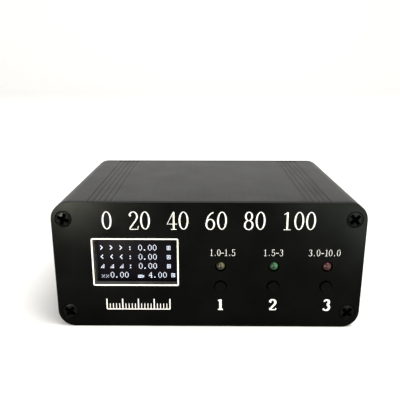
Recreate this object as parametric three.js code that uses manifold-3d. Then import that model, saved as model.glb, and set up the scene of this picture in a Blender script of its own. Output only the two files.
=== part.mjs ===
// A table-top standing-wave and power meter for a radio transmitter, as a three.js assembly.
// Two like aluminium extrusions lap together at mid height and are closed by two flat panels.
// The front panel shows a small display, three indicators and three push buttons.
// The rear panel carries two coaxial sockets, a charging socket and a slide switch.
// Lengths are millimetres: X to the right seen from the front, Y to the back, Z up.
// The origin is the middle of the underside of the case.
import * as THREE from "three";
import { mergeVertices } from "three/addons/utils/BufferGeometryUtils.js";
import Module from "manifold-3d";

const wasm = await Module();
wasm.setup();

// Case
const caseWidth = 88;
const caseHeight = 38;
const bodyLength = 57;
const cornerRadius = 5;
const wall = 1.8;
const panelThickness = 1.6;

// Lap joint between the two shells
const seamGap = 0.1;
const seamBevel = 0.3;
const tongueHeight = 1.6;
const tongueThickness = 0.75;
const lapClearance = 0.15;

// Long grooves in the top and the underside
const grooveCount = 5;
const innerGrooveOffset = 27.15;
const groovePitch = 1.64;
const grooveRadius = 0.6;
const grooveDepth = 0.2;

// Screw channels in the four corners of the case
const channelInsetX = 3.5;
const channelInsetZ = 4.8;
const channelRadius = 3.1;
const channelBore = 1.25;
const channelSlit = 1;

// Board slots in the side walls
const slotRibThickness = 1;
const slotRibDepth = 1.8;
const slotClearance = 0.3;
const boardSideGap = 0.4;

// Countersunk screws of the panels
const sinkRadius = 2.6;
const sinkDepth = 1.15;
const panelHoleRadius = 1.45;
const sinkClearance = 0.2;
const shankClearance = 0.1;
const panelScrewLength = 9;
const screwRim = 0.1;

// Cross recess of every screw
const crossLength = 2.9;
const crossWidth = 0.72;
const crossDepth = 0.8;
const frontScrewTurns = [22, 27, 38, 14];
const rearScrewTurns = [8, 33, 19, 41];
const flangeScrewTurns = [12, 35, 24, 3, 40, 17, 29, 9];

// Display window and the display behind it
const windowSideInset = 23.17;
const windowRise = 1.33;
const windowWidth = 23.5;
const windowHeight = 13.3;
const filmGap = 0.3;
const filmThickness = 0.2;
const filmSideMargin = 1.5;
const filmTopMargin = 0.3;
const filmHeight = 13.9;
const glassWidth = 26.7;
const glassHeight = 19.26;
const glassThickness = 1.45;
const glassShiftX = 0.53;
const glassTopOverWindow = 0.35;
const displayBoardWidth = 27.3;
const displayBoardThickness = 1.2;
const displayBoardTopGap = 4.67;
const displayBoardFloorGap = 1.93;
const displayHoleRadius = 1.1;
const displayHoleInset = 2;

// Pin headers
const pinPitch = 2.54;
const pinSize = 0.64;
const pinHoleSize = 1;
const pinTail = 1;
const displayHeaderPins = 4;
const displayHeaderHeight = 2.5;
const displayHeaderInset = 1.4;
const linkPins = 8;
const linkBlock = 2.5;
const linkGap = 0.2;

// Circuit boards
const boardThickness = 1.6;
const mainBoardDrop = 5.8;
const mainBoardFrontGap = 0.5;
const mainBoardRearGap = 0.4;
const mainBoardPanelGap = 0.3;
const tongueSideGap = 1.4;
const frontBoardEndGap = 5.5;
const frontBoardSideGap = 0.4;

// Indicators and buttons
const controlFromWindow = 12.53;
const controlSideInset = 10.25;
const indicatorRise = 0.15;
const indicatorHoleRadius = 1.62;
const indicatorRadius = 1.5;
const indicatorRimRadius = 1.9;
const indicatorRim = 1;
const indicatorLength = 5.3;
const indicatorStandOut = 0.45;
const indicatorLeadPitch = 2.54;
const indicatorLead = 0.5;
const buttonDrop = 6.05;
const buttonHoleRadius = 2.15;
const buttonRadius = 1.75;
const buttonStandOut = 0.8;
const buttonEdge = 0.3;
const buttonTravel = 0.25;
const buttonGuideDepth = 2;
const runningGap = 0.1;
const switchWidth = 6;
const switchHeight = 3.5;
const switchCornerCut = 0.6;
const switchCollarRadius = 2.6;
const switchCollarHeight = 0.3;

// Coaxial sockets
const socketSideInset = 20;
const barrelRadius = 7.94;
const barrelLength = 11.5;
const barrelBore = 6.3;
const barrelBoreDepth = 8;
const flangeWidth = 25.4;
const flangeThickness = 1.7;
const flangeCorner = 1.5;
const bossRadius = 7.6;
const bossLength = 3.6;
const bossClearance = 0.3;
const notchWidth = 1.6;
const notchDepth = 1.2;
const flangeScrewPitch = 18.26;
const flangeHoleRadius = 1.6;
const flangeScrewRadius = 1.45;
const flangeScrewLength = 6.5;
const flangeHeadRadius = 2.6;
const flangeHeadHeight = 1.7;
const flangeHeadEdge = 0.6;
const insulatorColumnRadius = 4.5;
const insulatorColumnSetback = 1.5;
const insulatorShoulder = 1.4;
const insulatorTailRadius = 4.7;
const insulatorTailStandOut = 1;
const insulatorClearance = 0.1;
const contactRadius = 2.75;
const contactBore = 2;
const contactBoreDepth = 10;
const contactSetback = 1.2;
const cupRadius = 2;
const cupBore = 1.3;
const cupLength = 6.2;
const cupDepth = 4;

// Charging socket
const usbWidth = 8.94;
const usbHeight = 3.16;
const usbCorner = 1.3;
const usbLength = 7.2;
const usbWall = 0.3;
const usbBackWall = 0.8;
const usbSetback = 0.3;
const usbSlotMargin = 0.35;
const usbTongueWidth = 6.6;
const usbTongueThickness = 0.7;
const usbTongueSetback = 0.9;

// Slide switch
const slideBodyWidth = 8.6;
const slideBodyHeight = 3.7;
const slideBodyLength = 4.4;
const slideLeverWidth = 1.5;
const slideLeverHeight = 1.5;
const slideLeverStandOut = 2.2;
const slideLeverRoot = 2;
const slideTravel = 2;
const slideGap = 0.25;
const slideSlotMargin = 0.5;

// Measuring line: cores, windings and line wires
const coreOuterRadius = 6.35;
const coreInnerRadius = 3.575;
const coreLength = 4.9;
const coreBevel = 0.7;
const coreFromCup = 11.8;
const windingTurns = 11;
const windingWire = 0.25;
const windingClearance = 0.35;
const windingRoomShare = 0.86;
const windingSides = 5;
const stepsPerTurn = 8;
const seatGap = 0.3;
const lineRadius = 0.9;
const lineInCup = 2.5;
const lineLead = 3;
const lineFoot = 7;

// Battery
const batterySideGap = 17.2;
const batteryFrontGap = 4.25;
const batteryRearGap = 11.5;
const batteryTopGap = 4.4;
const batteryEdgeFlat = 0.5;
const batteryTapeHeight = 1;
const batteryTapeMargin = 5;
const batteryLeadRadius = 0.6;
const batteryLeadPitch = 4;
const batteryLeadReach = 2.2;

// Chips
const controllerWidth = 10;
const controllerHeight = 1.4;
const controllerX = -3;
const controllerInset = 14.75;
const controllerPins = 8;
const controllerPinPitch = 0.8;
const chargerWidth = 4;
const chargerLength = 5;
const chargerHeight = 1.5;
const chargerX = 8;
const chargerInset = 14.2;
const chipPinWidth = 0.4;
const chipPinReach = 0.9;
const chipPinThickness = 0.25;

// Every cut runs past the face it opens by this much
const overrun = 1;

// Fineness of round surfaces, and the distance within which vertices are one
const arcSegments = 4;
const holeSides = 20;
const screwSides = 12;
const socketSides = 32;
const wireSides = 6;
const grooveSides = 24;
const domeSteps = 4;
const mergeDistance = 1e-4;

// Places that several pieces share
const halfWidth = caseWidth / 2;
const midHeight = caseHeight / 2;
const frontFace = -bodyLength / 2 - panelThickness;
const panelBack = -bodyLength / 2;
const rearPanelFront = bodyLength / 2;
const rearFace = bodyLength / 2 + panelThickness;
const channelX = halfWidth - channelInsetX;
const filmFront = panelBack + filmGap;
const glassFront = filmFront + filmThickness;
const displayBoardFront = glassFront + glassThickness;
const displayHeaderFront = displayBoardFront + displayBoardThickness;
const frontBoardFront = displayHeaderFront + displayHeaderHeight;
const frontBoardBack = frontBoardFront + boardThickness;
const windowCentreX = windowSideInset - halfWidth;
const windowCentreZ = midHeight + windowRise;
const glassX = windowCentreX + glassShiftX;
const glassTop = windowCentreZ + windowHeight / 2 + glassTopOverWindow;
const displayBoardTop = caseHeight - wall - displayBoardTopGap;
const displayBoardBottom = wall + displayBoardFloorGap;
const displayHeaderZ = displayBoardTop - displayHeaderInset;
const mainBoardUnderside = midHeight - mainBoardDrop;
const mainBoardTop = mainBoardUnderside + boardThickness;
const linkPinZ = mainBoardTop + linkBlock / 2;
const linkBlockFront = frontBoardBack + linkGap;
const linkFootY = linkBlockFront + linkBlock + pinPitch / 2;
const firstColumn = windowCentreX + windowWidth / 2 + controlFromWindow;
const lastColumn = halfWidth - controlSideInset;
const controlColumns = [firstColumn, (firstColumn + lastColumn) / 2, lastColumn];
const indicatorZ = midHeight + indicatorRise;
const buttonZ = midHeight - buttonDrop;
const socketOffset = halfWidth - socketSideInset;
const socketMouth = rearFace + flangeThickness + barrelLength;
const insulatorEnd = rearFace - bossLength - insulatorTailStandOut;
const cupEnd = insulatorEnd - cupLength;
const mainBoardFront = frontBoardBack + mainBoardFrontGap;
const mainBoardRear = insulatorEnd - mainBoardRearGap;
const tongueBoardRear = rearPanelFront - mainBoardPanelGap;
const slideLeverZ = mainBoardTop + slideBodyHeight / 2;
const usbMiddleZ = mainBoardUnderside - usbHeight / 2;
const usbMouth = rearFace - usbSetback;
const windingReach = 2 * windingWire + windingClearance;
const coreZ = mainBoardTop + seatGap + coreOuterRadius + windingReach;
const coreY = cupEnd - coreFromCup;
const batteryUnderside = wall + batteryTapeHeight;
const batteryHeight = mainBoardUnderside - batteryTopGap - batteryUnderside;
const batteryCorner = batteryHeight / 2 - batteryEdgeFlat;
const batteryWidth = caseWidth - 2 * (wall + batterySideGap);
const batteryFront = frontBoardBack + batteryFrontGap;
const batteryRear = rearPanelFront - batteryRearGap;

// Materials
const material = (color, roughness, metalness) =>
  new THREE.MeshStandardMaterial({ color, roughness, metalness });
const blackAnodised = material(0x1b1b1a, 0.5, 0.6);
const blackSteel = material(0x232323, 0.4, 0.8);
const screenFilm = material(0x0d0d12, 0.2, 0);
const displayGlass = material(0x4d5752, 0.15, 0);
const greenBoard = material(0x1f5a36, 0.5, 0);
const blackPlastic = material(0x161616, 0.45, 0);
const yellowLens = material(0x8c8a52, 0.2, 0);
const greenLens = material(0x2f7a4a, 0.2, 0);
const redLens = material(0x7d2a2a, 0.2, 0);
const nickel = material(0xb9b7b0, 0.3, 1);
const whitePlastic = material(0xe9e6dd, 0.5, 0);
const goldContact = material(0xc9a552, 0.3, 1);
const ferrite = material(0x37373a, 0.7, 0);
const copper = material(0xb0653a, 0.35, 1);
const silverPouch = material(0xa9abad, 0.4, 0.6);
const whiteFoam = material(0xd9d8d2, 0.9, 0);
const redSleeve = material(0xa32020, 0.5, 0);
const blackSleeve = material(0x1a1a1a, 0.5, 0);

// A closed three.js geometry as a solid that can be joined and cut
function solid(geometry) {
  const bare = geometry.index ? geometry.toNonIndexed() : geometry.clone();
  bare.deleteAttribute("normal");
  bare.deleteAttribute("uv");
  const merged = mergeVertices(bare, mergeDistance);
  const mesh = new wasm.Mesh({
    numProp: 3,
    vertProperties: merged.attributes.position.array,
    triVerts: new Uint32Array(merged.index.array),
  });
  return new wasm.Manifold(mesh);
}

// A solid as a three.js geometry again
function geometryOf(shape) {
  const mesh = shape.getMesh();
  const geometry = new THREE.BufferGeometry();
  geometry.setAttribute("position", new THREE.BufferAttribute(mesh.vertProperties, 3));
  geometry.setIndex(new THREE.BufferAttribute(mesh.triVerts, 1));
  geometry.computeVertexNormals();
  return geometry;
}

// A block between two corners
function block(x0, x1, y0, y1, z0, z1) {
  const box = new THREE.BoxGeometry(x1 - x0, y1 - y0, z1 - z0);
  box.translate((x0 + x1) / 2, (y0 + y1) / 2, (z0 + z1) / 2);
  return solid(box);
}

// A round bar along Y, with its own radius at each end
function bar(frontRadius, rearRadius, y0, y1, x, z, sides) {
  const cylinder = new THREE.CylinderGeometry(rearRadius, frontRadius, y1 - y0, sides);
  cylinder.translate(x, (y0 + y1) / 2, z);
  return solid(cylinder);
}

// An outline in X and Z drawn out along Y
function drawnOut(shape, y0, y1) {
  const depth = y1 - y0;
  const geometry = new THREE.ExtrudeGeometry(shape, {
    depth,
    bevelEnabled: false,
    curveSegments: arcSegments,
  });
  geometry.rotateX(Math.PI / 2);
  geometry.translate(0, y1, 0);
  return solid(geometry);
}

// A profile of [radius, y] points turned about the Y axis
function turned(profile, sides) {
  const points = profile.map(([radius, y]) => new THREE.Vector2(radius, y));
  return solid(new THREE.LatheGeometry(points, sides));
}

// A rectangle with round corners about the middle (x, z)
function roundedRectangle(width, height, radius, x, z) {
  const right = x + width / 2;
  const left = x - width / 2;
  const top = z + height / 2;
  const bottom = z - height / 2;
  const shape = new THREE.Shape();
  shape.absarc(right - radius, top - radius, radius, 0, Math.PI / 2, false);
  shape.absarc(left + radius, top - radius, radius, Math.PI / 2, Math.PI, false);
  shape.absarc(left + radius, bottom + radius, radius, Math.PI, 1.5 * Math.PI, false);
  shape.absarc(right - radius, bottom + radius, radius, 1.5 * Math.PI, 2 * Math.PI, false);
  return shape;
}

const joined = (shapes) => shapes.reduce((whole, next) => whole.add(next));
const cutBy = (shape, cutters) => cutters.reduce((left, next) => left.subtract(next), shape);

const meter = new THREE.Group();

// Puts a named mesh into the assembly, moved and turned about its own Y axis
function place(name, shape, finish, position = [0, 0, 0], turn = 0, parent = meter) {
  const mesh = new THREE.Mesh(geometryOf(shape), finish);
  mesh.name = name;
  mesh.position.set(...position);
  mesh.rotation.y = THREE.MathUtils.degToRad(turn);
  parent.add(mesh);
  return mesh;
}

// The section of one shell: a channel with a tongue on its left wall and a rebate in its right
function shellOutline() {
  const seam = midHeight - seamGap / 2;
  const inner = halfWidth - wall;
  const rebate = inner + tongueThickness + lapClearance;
  const arcX = halfWidth - cornerRadius;
  const shape = new THREE.Shape();
  shape.moveTo(-halfWidth, seam - seamBevel);
  shape.absarc(-arcX, cornerRadius, cornerRadius, Math.PI, 1.5 * Math.PI, false);
  shape.absarc(arcX, cornerRadius, cornerRadius, 1.5 * Math.PI, 2 * Math.PI, false);
  shape.lineTo(halfWidth, seam - seamBevel);
  shape.lineTo(halfWidth - seamBevel, seam);
  shape.lineTo(rebate, seam);
  shape.lineTo(rebate, midHeight - tongueHeight - lapClearance);
  shape.lineTo(inner, midHeight - tongueHeight - lapClearance);
  shape.absarc(arcX, cornerRadius, cornerRadius - wall, 2 * Math.PI, 1.5 * Math.PI, true);
  shape.absarc(-arcX, cornerRadius, cornerRadius - wall, 1.5 * Math.PI, Math.PI, true);
  shape.lineTo(-inner, midHeight + tongueHeight);
  shape.lineTo(-inner - tongueThickness, midHeight + tongueHeight);
  shape.lineTo(-inner - tongueThickness, seam);
  shape.lineTo(-halfWidth + seamBevel, seam);
  shape.closePath();
  return shape;
}

// One shell, lying as the lower half of the case
function shell() {
  const front = -bodyLength / 2;
  const rear = bodyLength / 2;
  const ribInner = halfWidth - wall - slotRibDepth;
  const ribRoot = halfWidth - wall / 2;
  const additions = [];
  const cuts = [];
  for (const side of [-1, 1]) {
    const x = side * channelX;
    additions.push(bar(channelRadius, channelRadius, front, rear, x, channelInsetZ, holeSides));
    for (const z of [
      mainBoardUnderside - slotClearance - slotRibThickness,
      mainBoardTop + slotClearance,
    ]) {
      const [x0, x1] = side > 0 ? [ribInner, ribRoot] : [-ribRoot, -ribInner];
      additions.push(block(x0, x1, front, rear, z, z + slotRibThickness));
    }
    const [bore0, bore1] = [front - overrun, rear + overrun];
    cuts.push(bar(channelBore, channelBore, bore0, bore1, x, channelInsetZ, screwSides));
    const slitEnd = x - side * (channelRadius + overrun);
    const slitBottom = channelInsetZ - channelSlit / 2;
    cuts.push(
      block(
        Math.min(x, slitEnd),
        Math.max(x, slitEnd),
        bore0,
        bore1,
        slitBottom,
        slitBottom + channelSlit,
      ),
    );
    for (let index = 0; index < grooveCount; index += 1) {
      const grooveX = side * (innerGrooveOffset + index * groovePitch);
      const grooveZ = grooveDepth - grooveRadius;
      cuts.push(bar(grooveRadius, grooveRadius, bore0, bore1, grooveX, grooveZ, grooveSides));
    }
  }
  return cutBy(joined([drawnOut(shellOutline(), front, rear), ...additions]), cuts);
}

// Places of the four panel screws, by the row from the top left as seen from the front
const cornerPlaces = [
  [-channelX, caseHeight - channelInsetZ],
  [channelX, caseHeight - channelInsetZ],
  [-channelX, channelInsetZ],
  [channelX, channelInsetZ],
];

// A panel blank with its countersunk holes; outward is -1 for the front and 1 for the rear
function panelBlank(y0, y1, outward) {
  const outline = roundedRectangle(caseWidth, caseHeight, cornerRadius, 0, midHeight);
  const cuts = cornerPlaces.flatMap(([x, z]) => {
    const face = outward < 0 ? y0 : y1;
    const past = face + outward * overrun;
    const bottom = face - outward * sinkDepth;
    const mouth = sinkRadius + ((sinkRadius - panelHoleRadius) * overrun) / sinkDepth;
    const sink =
      outward < 0
        ? bar(mouth, panelHoleRadius, past, bottom, x, z, holeSides)
        : bar(panelHoleRadius, mouth, bottom, past, x, z, holeSides);
    const radius = panelHoleRadius;
    return [sink, bar(radius, radius, y0 - overrun, y1 + overrun, x, z, holeSides)];
  });
  return cutBy(drawnOut(outline, y0, y1), cuts);
}

// The front panel, with its display window and two rows of three holes
function frontPanel() {
  const [y0, y1] = [frontFace - overrun, panelBack + overrun];
  const window = block(
    windowCentreX - windowWidth / 2,
    windowCentreX + windowWidth / 2,
    y0,
    y1,
    windowCentreZ - windowHeight / 2,
    windowCentreZ + windowHeight / 2,
  );
  const holes = controlColumns.flatMap((x) => [
    bar(indicatorHoleRadius, indicatorHoleRadius, y0, y1, x, indicatorZ, holeSides),
    bar(buttonHoleRadius, buttonHoleRadius, y0, y1, x, buttonZ, holeSides),
  ]);
  return cutBy(panelBlank(frontFace, panelBack, -1), [window, ...holes]);
}

// Places of the screws round one socket
const flangeCorners = [
  [-1, 1],
  [1, 1],
  [-1, -1],
  [1, -1],
].map(([x, z]) => [(x * flangeScrewPitch) / 2, (z * flangeScrewPitch) / 2]);

// The outline of the charging socket, grown on all sides by a margin
function usbOutline(margin) {
  const [width, height] = [usbWidth + 2 * margin, usbHeight + 2 * margin];
  return roundedRectangle(width, height, usbCorner + margin, 0, usbMiddleZ);
}

// The rear panel, with the socket holes and the slots of the charger and the switch
function rearPanel() {
  const [y0, y1] = [rearPanelFront - overrun, rearFace + overrun];
  const cuts = [-1, 1].flatMap((side) => {
    const x = side * socketOffset;
    const radius = bossRadius + bossClearance;
    const screws = flangeCorners.map(([dx, dz]) =>
      bar(flangeHoleRadius, flangeHoleRadius, y0, y1, x + dx, midHeight + dz, screwSides),
    );
    return [bar(radius, radius, y0, y1, x, midHeight, socketSides), ...screws];
  });
  const slideHalf = (slideTravel + slideLeverWidth) / 2 + slideSlotMargin;
  const slideHalfHeight = slideLeverHeight / 2 + slideSlotMargin;
  cuts.push(
    drawnOut(usbOutline(usbSlotMargin), y0, y1),
    block(
      -slideHalf,
      slideHalf,
      y0,
      y1,
      slideLeverZ - slideHalfHeight,
      slideLeverZ + slideHalfHeight,
    ),
  );
  return cutBy(panelBlank(rearPanelFront, rearFace, 1), cuts);
}

// The cross recess of a screw whose head's face is at y 0 and whose shank runs to +Y
function crossRecess() {
  const long = crossLength / 2;
  const short = crossWidth / 2;
  return joined([
    block(-long, long, -overrun, crossDepth, -short, short),
    block(-short, short, -overrun, crossDepth, -long, long),
  ]);
}

// A countersunk screw, its head's face at y 0 and its shank running to +Y
function panelScrew() {
  const headRadius = sinkRadius - sinkClearance;
  const shank = channelBore - shankClearance;
  const coneEnd = screwRim + headRadius - shank;
  const profile = [
    [0, 0],
    [headRadius, 0],
    [headRadius, screwRim],
    [shank, coneEnd],
    [shank, panelScrewLength],
    [0, panelScrewLength],
  ];
  return turned(profile, screwSides).subtract(crossRecess());
}

// A pan-head screw of a socket's flange, its seat at y 0 and its shank running to +Y
function flangeScrew() {
  const profile = [
    [0, -flangeHeadHeight],
    [flangeHeadRadius - flangeHeadEdge, -flangeHeadHeight],
    [flangeHeadRadius, flangeHeadEdge - flangeHeadHeight],
    [flangeHeadRadius, 0],
    [flangeScrewRadius, 0],
    [flangeScrewRadius, flangeScrewLength],
    [0, flangeScrewLength],
  ];
  const recess = crossRecess().translate([0, -flangeHeadHeight, 0]);
  return turned(profile, screwSides).subtract(recess);
}

// A row of square pins or pin holes along X
function pinRow(count, size, x, y0, y1, z) {
  const pins = [];
  for (let index = 0; index < count; index += 1) {
    const middle = x + (index - (count - 1) / 2) * pinPitch;
    pins.push(block(middle - size / 2, middle + size / 2, y0, y1, z - size / 2, z + size / 2));
  }
  return pins;
}

// The small board that the display's glass is bonded to
function displayBoard() {
  const bottom = displayBoardBottom;
  const [x0, x1] = [glassX - displayBoardWidth / 2, glassX + displayBoardWidth / 2];
  const [y0, y1] = [displayBoardFront, displayHeaderFront];
  const board = block(x0, x1, y0, y1, bottom, displayBoardTop);
  const past = [y0 - overrun, y1 + overrun];
  const cuts = pinRow(displayHeaderPins, pinHoleSize, glassX, ...past, displayHeaderZ);
  for (const x of [x0 + displayHoleInset, x1 - displayHoleInset]) {
    for (const z of [bottom + displayHoleInset, displayBoardTop - displayHoleInset]) {
      cuts.push(bar(displayHoleRadius, displayHoleRadius, ...past, x, z, screwSides));
    }
  }
  return cutBy(board, cuts);
}

// The header that carries the display on the front board
function displayHeader() {
  const half = (displayHeaderPins * pinPitch) / 2;
  const strip = block(
    glassX - half,
    glassX + half,
    displayHeaderFront,
    frontBoardFront,
    displayHeaderZ - pinPitch / 2,
    displayHeaderZ + pinPitch / 2,
  );
  const [y0, y1] = [displayBoardFront, frontBoardBack + pinTail];
  return joined([strip, ...pinRow(displayHeaderPins, pinSize, glassX, y0, y1, displayHeaderZ)]);
}

// The upright board behind the front panel, pierced for every lead
function frontBoard() {
  const half = channelX - channelRadius - frontBoardSideGap;
  const board = block(
    -half,
    half,
    frontBoardFront,
    frontBoardBack,
    frontBoardEndGap,
    caseHeight - frontBoardEndGap,
  );
  const past = [frontBoardFront - overrun, frontBoardBack + overrun];
  const cuts = [
    ...pinRow(displayHeaderPins, pinHoleSize, glassX, ...past, displayHeaderZ),
    ...pinRow(linkPins, pinHoleSize, glassX, ...past, linkPinZ),
  ];
  for (const x of controlColumns) {
    for (const side of [-1, 1]) {
      const lead = x + (side * indicatorLeadPitch) / 2;
      const half = pinHoleSize / 2;
      cuts.push(block(lead - half, lead + half, ...past, indicatorZ - half, indicatorZ + half));
    }
  }
  return cutBy(board, cuts);
}

// The right-angle header that joins the front board to the main board
function boardLink() {
  const half = (linkPins * pinPitch) / 2;
  const pieces = [
    block(
      glassX - half,
      glassX + half,
      linkBlockFront,
      linkBlockFront + linkBlock,
      mainBoardTop,
      mainBoardTop + linkBlock,
    ),
    ...pinRow(
      linkPins,
      pinSize,
      glassX,
      frontBoardFront - pinTail,
      linkFootY + pinSize / 2,
      linkPinZ,
    ),
  ];
  for (let index = 0; index < linkPins; index += 1) {
    const x = glassX + (index - (linkPins - 1) / 2) * pinPitch;
    pieces.push(
      block(
        x - pinSize / 2,
        x + pinSize / 2,
        linkFootY - pinSize / 2,
        linkFootY + pinSize / 2,
        mainBoardUnderside - pinTail,
        linkPinZ,
      ),
    );
  }
  return joined(pieces);
}

// The main board: its sides run in the shell's slots and its middle reaches the rear panel
function mainBoard() {
  const half = halfWidth - wall - boardSideGap;
  const sheet = block(-half, half, mainBoardFront, mainBoardRear, mainBoardUnderside, mainBoardTop);
  const tongueHalf = socketOffset - bossRadius - tongueSideGap;
  const reach = block(
    -tongueHalf,
    tongueHalf,
    mainBoardRear - overrun,
    tongueBoardRear,
    mainBoardUnderside,
    mainBoardTop,
  );
  const cuts = [];
  for (let index = 0; index < linkPins; index += 1) {
    const x = glassX + (index - (linkPins - 1) / 2) * pinPitch;
    const hole = pinHoleSize / 2;
    cuts.push(
      block(
        x - hole,
        x + hole,
        linkFootY - hole,
        linkFootY + hole,
        mainBoardUnderside - overrun,
        mainBoardTop + overrun,
      ),
    );
  }
  return cutBy(sheet.add(reach), cuts);
}

// An indicator: lens, rim and two leads, its column at x 0 and its tip proud of the panel
function indicator() {
  const tip = frontFace - indicatorStandOut;
  const base = tip + indicatorLength;
  const profile = [[0, tip]];
  for (let step = 1; step <= domeSteps; step += 1) {
    const angle = ((Math.PI / 2) * step) / domeSteps;
    profile.push([
      indicatorRadius * Math.sin(angle),
      tip + indicatorRadius * (1 - Math.cos(angle)),
    ]);
  }
  profile.push(
    [indicatorRadius, base - indicatorRim],
    [indicatorRimRadius, base - indicatorRim],
    [indicatorRimRadius, base],
    [0, base],
  );
  const leads = [-1, 1].map((side) => {
    const x = (side * indicatorLeadPitch) / 2;
    const half = indicatorLead / 2;
    const y0 = base - indicatorRim / 2;
    return block(x - half, x + half, y0, frontBoardBack + pinTail, -half, half);
  });
  return joined([turned(profile, screwSides), ...leads]);
}

// The body of a push switch, its guide bored for the button
function switchBody() {
  const front = frontBoardFront - switchHeight;
  const outline = roundedRectangle(switchWidth, switchWidth, switchCornerCut, 0, 0);
  const collar = bar(
    switchCollarRadius,
    switchCollarRadius,
    front - switchCollarHeight,
    front + switchHeight / 2,
    0,
    0,
    holeSides,
  );
  const radius = buttonRadius + runningGap;
  const bottom = front + buttonGuideDepth + buttonTravel + seatGap;
  const guide = bar(radius, radius, front - overrun, bottom, 0, 0, holeSides);
  return drawnOut(outline, front, frontBoardFront).add(collar).subtract(guide);
}

// A button: a round stem with an eased edge
function button() {
  const tip = frontFace - buttonStandOut;
  const root = frontBoardFront - switchHeight + buttonGuideDepth;
  const profile = [
    [0, tip],
    [buttonRadius - buttonEdge, tip],
    [buttonRadius, tip + buttonEdge],
    [buttonRadius, root],
    [0, root],
  ];
  return turned(profile, holeSides);
}

// The metal shell of a coaxial socket, its axis at x 0 and z 0
function socketShell() {
  const flangeFront = rearFace + flangeThickness;
  const step = socketMouth - barrelBoreDepth - insulatorShoulder;
  const tailBore = insulatorTailRadius + insulatorClearance;
  const profile = [
    [tailBore, rearFace - bossLength],
    [bossRadius, rearFace - bossLength],
    [bossRadius, rearFace + flangeThickness / 2],
    [barrelRadius, rearFace + flangeThickness / 2],
    [barrelRadius, socketMouth],
    [barrelBore, socketMouth],
    [barrelBore, step],
    [tailBore, step],
    [tailBore, rearFace - bossLength],
  ];
  const outline = roundedRectangle(flangeWidth, flangeWidth, flangeCorner, 0, 0);
  const plate = drawnOut(outline, rearFace, flangeFront);
  const [y0, y1] = [rearFace - overrun, flangeFront + overrun];
  const core = (bossRadius + tailBore) / 2;
  const holes = flangeCorners.map(([x, z]) =>
    bar(flangeHoleRadius, flangeHoleRadius, y0, y1, x, z, screwSides),
  );
  const pierced = cutBy(plate, [bar(core, core, y0, y1, 0, 0, socketSides), ...holes]);
  const past = barrelRadius + overrun;
  const notchFloor = socketMouth - notchDepth;
  const notches = [
    block(-past, past, notchFloor, socketMouth + overrun, -notchWidth / 2, notchWidth / 2),
    block(-notchWidth / 2, notchWidth / 2, notchFloor, socketMouth + overrun, -past, past),
  ];
  return cutBy(turned(profile, socketSides).add(pierced), notches);
}

// The insulator inside a socket
function socketInsulator() {
  const bore = contactRadius + insulatorClearance;
  const shoulderFront = socketMouth - barrelBoreDepth;
  const shoulderBack = shoulderFront - insulatorShoulder + insulatorClearance;
  const shoulderRadius = barrelBore - insulatorClearance;
  const columnFront = socketMouth - insulatorColumnSetback;
  return turned(
    [
      [bore, insulatorEnd],
      [insulatorTailRadius, insulatorEnd],
      [insulatorTailRadius, shoulderBack],
      [shoulderRadius, shoulderBack],
      [shoulderRadius, shoulderFront],
      [insulatorColumnRadius, shoulderFront],
      [insulatorColumnRadius, columnFront],
      [bore, columnFront],
      [bore, insulatorEnd],
    ],
    holeSides,
  );
}

// The centre contact of a socket: a bored tube in front and a solder cup behind
function socketContact() {
  const front = socketMouth - contactSetback;
  return turned(
    [
      [0, cupEnd + cupDepth],
      [cupBore, cupEnd + cupDepth],
      [cupBore, cupEnd],
      [cupRadius, cupEnd],
      [cupRadius, insulatorEnd],
      [contactRadius, insulatorEnd],
      [contactRadius, front],
      [contactBore, front],
      [contactBore, front - contactBoreDepth],
      [0, front - contactBoreDepth],
    ],
    holeSides,
  );
}

// The charging socket's metal shell under the main board, open to the rear
function usbShell() {
  const back = usbMouth - usbLength;
  const outer = drawnOut(usbOutline(0), back, usbMouth);
  return outer.subtract(drawnOut(usbOutline(-usbWall), back + usbBackWall, usbMouth + overrun));
}

// The contact tongue inside the charging socket
function usbTongue() {
  return block(
    -usbTongueWidth / 2,
    usbTongueWidth / 2,
    usbMouth - usbLength + usbBackWall,
    usbMouth - usbTongueSetback,
    usbMiddleZ - usbTongueThickness / 2,
    usbMiddleZ + usbTongueThickness / 2,
  );
}

// The slide switch's body, slotted for its lever
function slideBody() {
  const rear = tongueBoardRear;
  const half = slideBodyWidth / 2;
  const body = block(
    -half,
    half,
    rear - slideBodyLength,
    rear,
    mainBoardTop,
    mainBoardTop + slideBodyHeight,
  );
  const slotHalf = slideTravel / 2 + slideLeverWidth / 2 + slideGap;
  const slotHalfHeight = slideLeverHeight / 2 + slideGap;
  const slot = block(
    -slotHalf,
    slotHalf,
    rear - slideLeverRoot - slideGap,
    rear + overrun,
    slideLeverZ - slotHalfHeight,
    slideLeverZ + slotHalfHeight,
  );
  return body.subtract(slot);
}

// The slide switch's lever, resting at the on end of its travel
function slideLever() {
  const x = -slideTravel / 2;
  return block(
    x - slideLeverWidth / 2,
    x + slideLeverWidth / 2,
    tongueBoardRear - slideLeverRoot,
    rearFace + slideLeverStandOut,
    slideLeverZ - slideLeverHeight / 2,
    slideLeverZ + slideLeverHeight / 2,
  );
}

// A ferrite core about the Y axis
function core() {
  const [y0, y1] = [-coreLength / 2, coreLength / 2];
  return turned(
    [
      [coreInnerRadius + coreBevel, y0],
      [coreOuterRadius - coreBevel, y0],
      [coreOuterRadius, y0 + coreBevel],
      [coreOuterRadius, y1 - coreBevel],
      [coreOuterRadius - coreBevel, y1],
      [coreInnerRadius + coreBevel, y1],
      [coreInnerRadius, y1 - coreBevel],
      [coreInnerRadius, y0 + coreBevel],
      [coreInnerRadius + coreBevel, y0],
    ],
    holeSides,
  );
}

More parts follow.
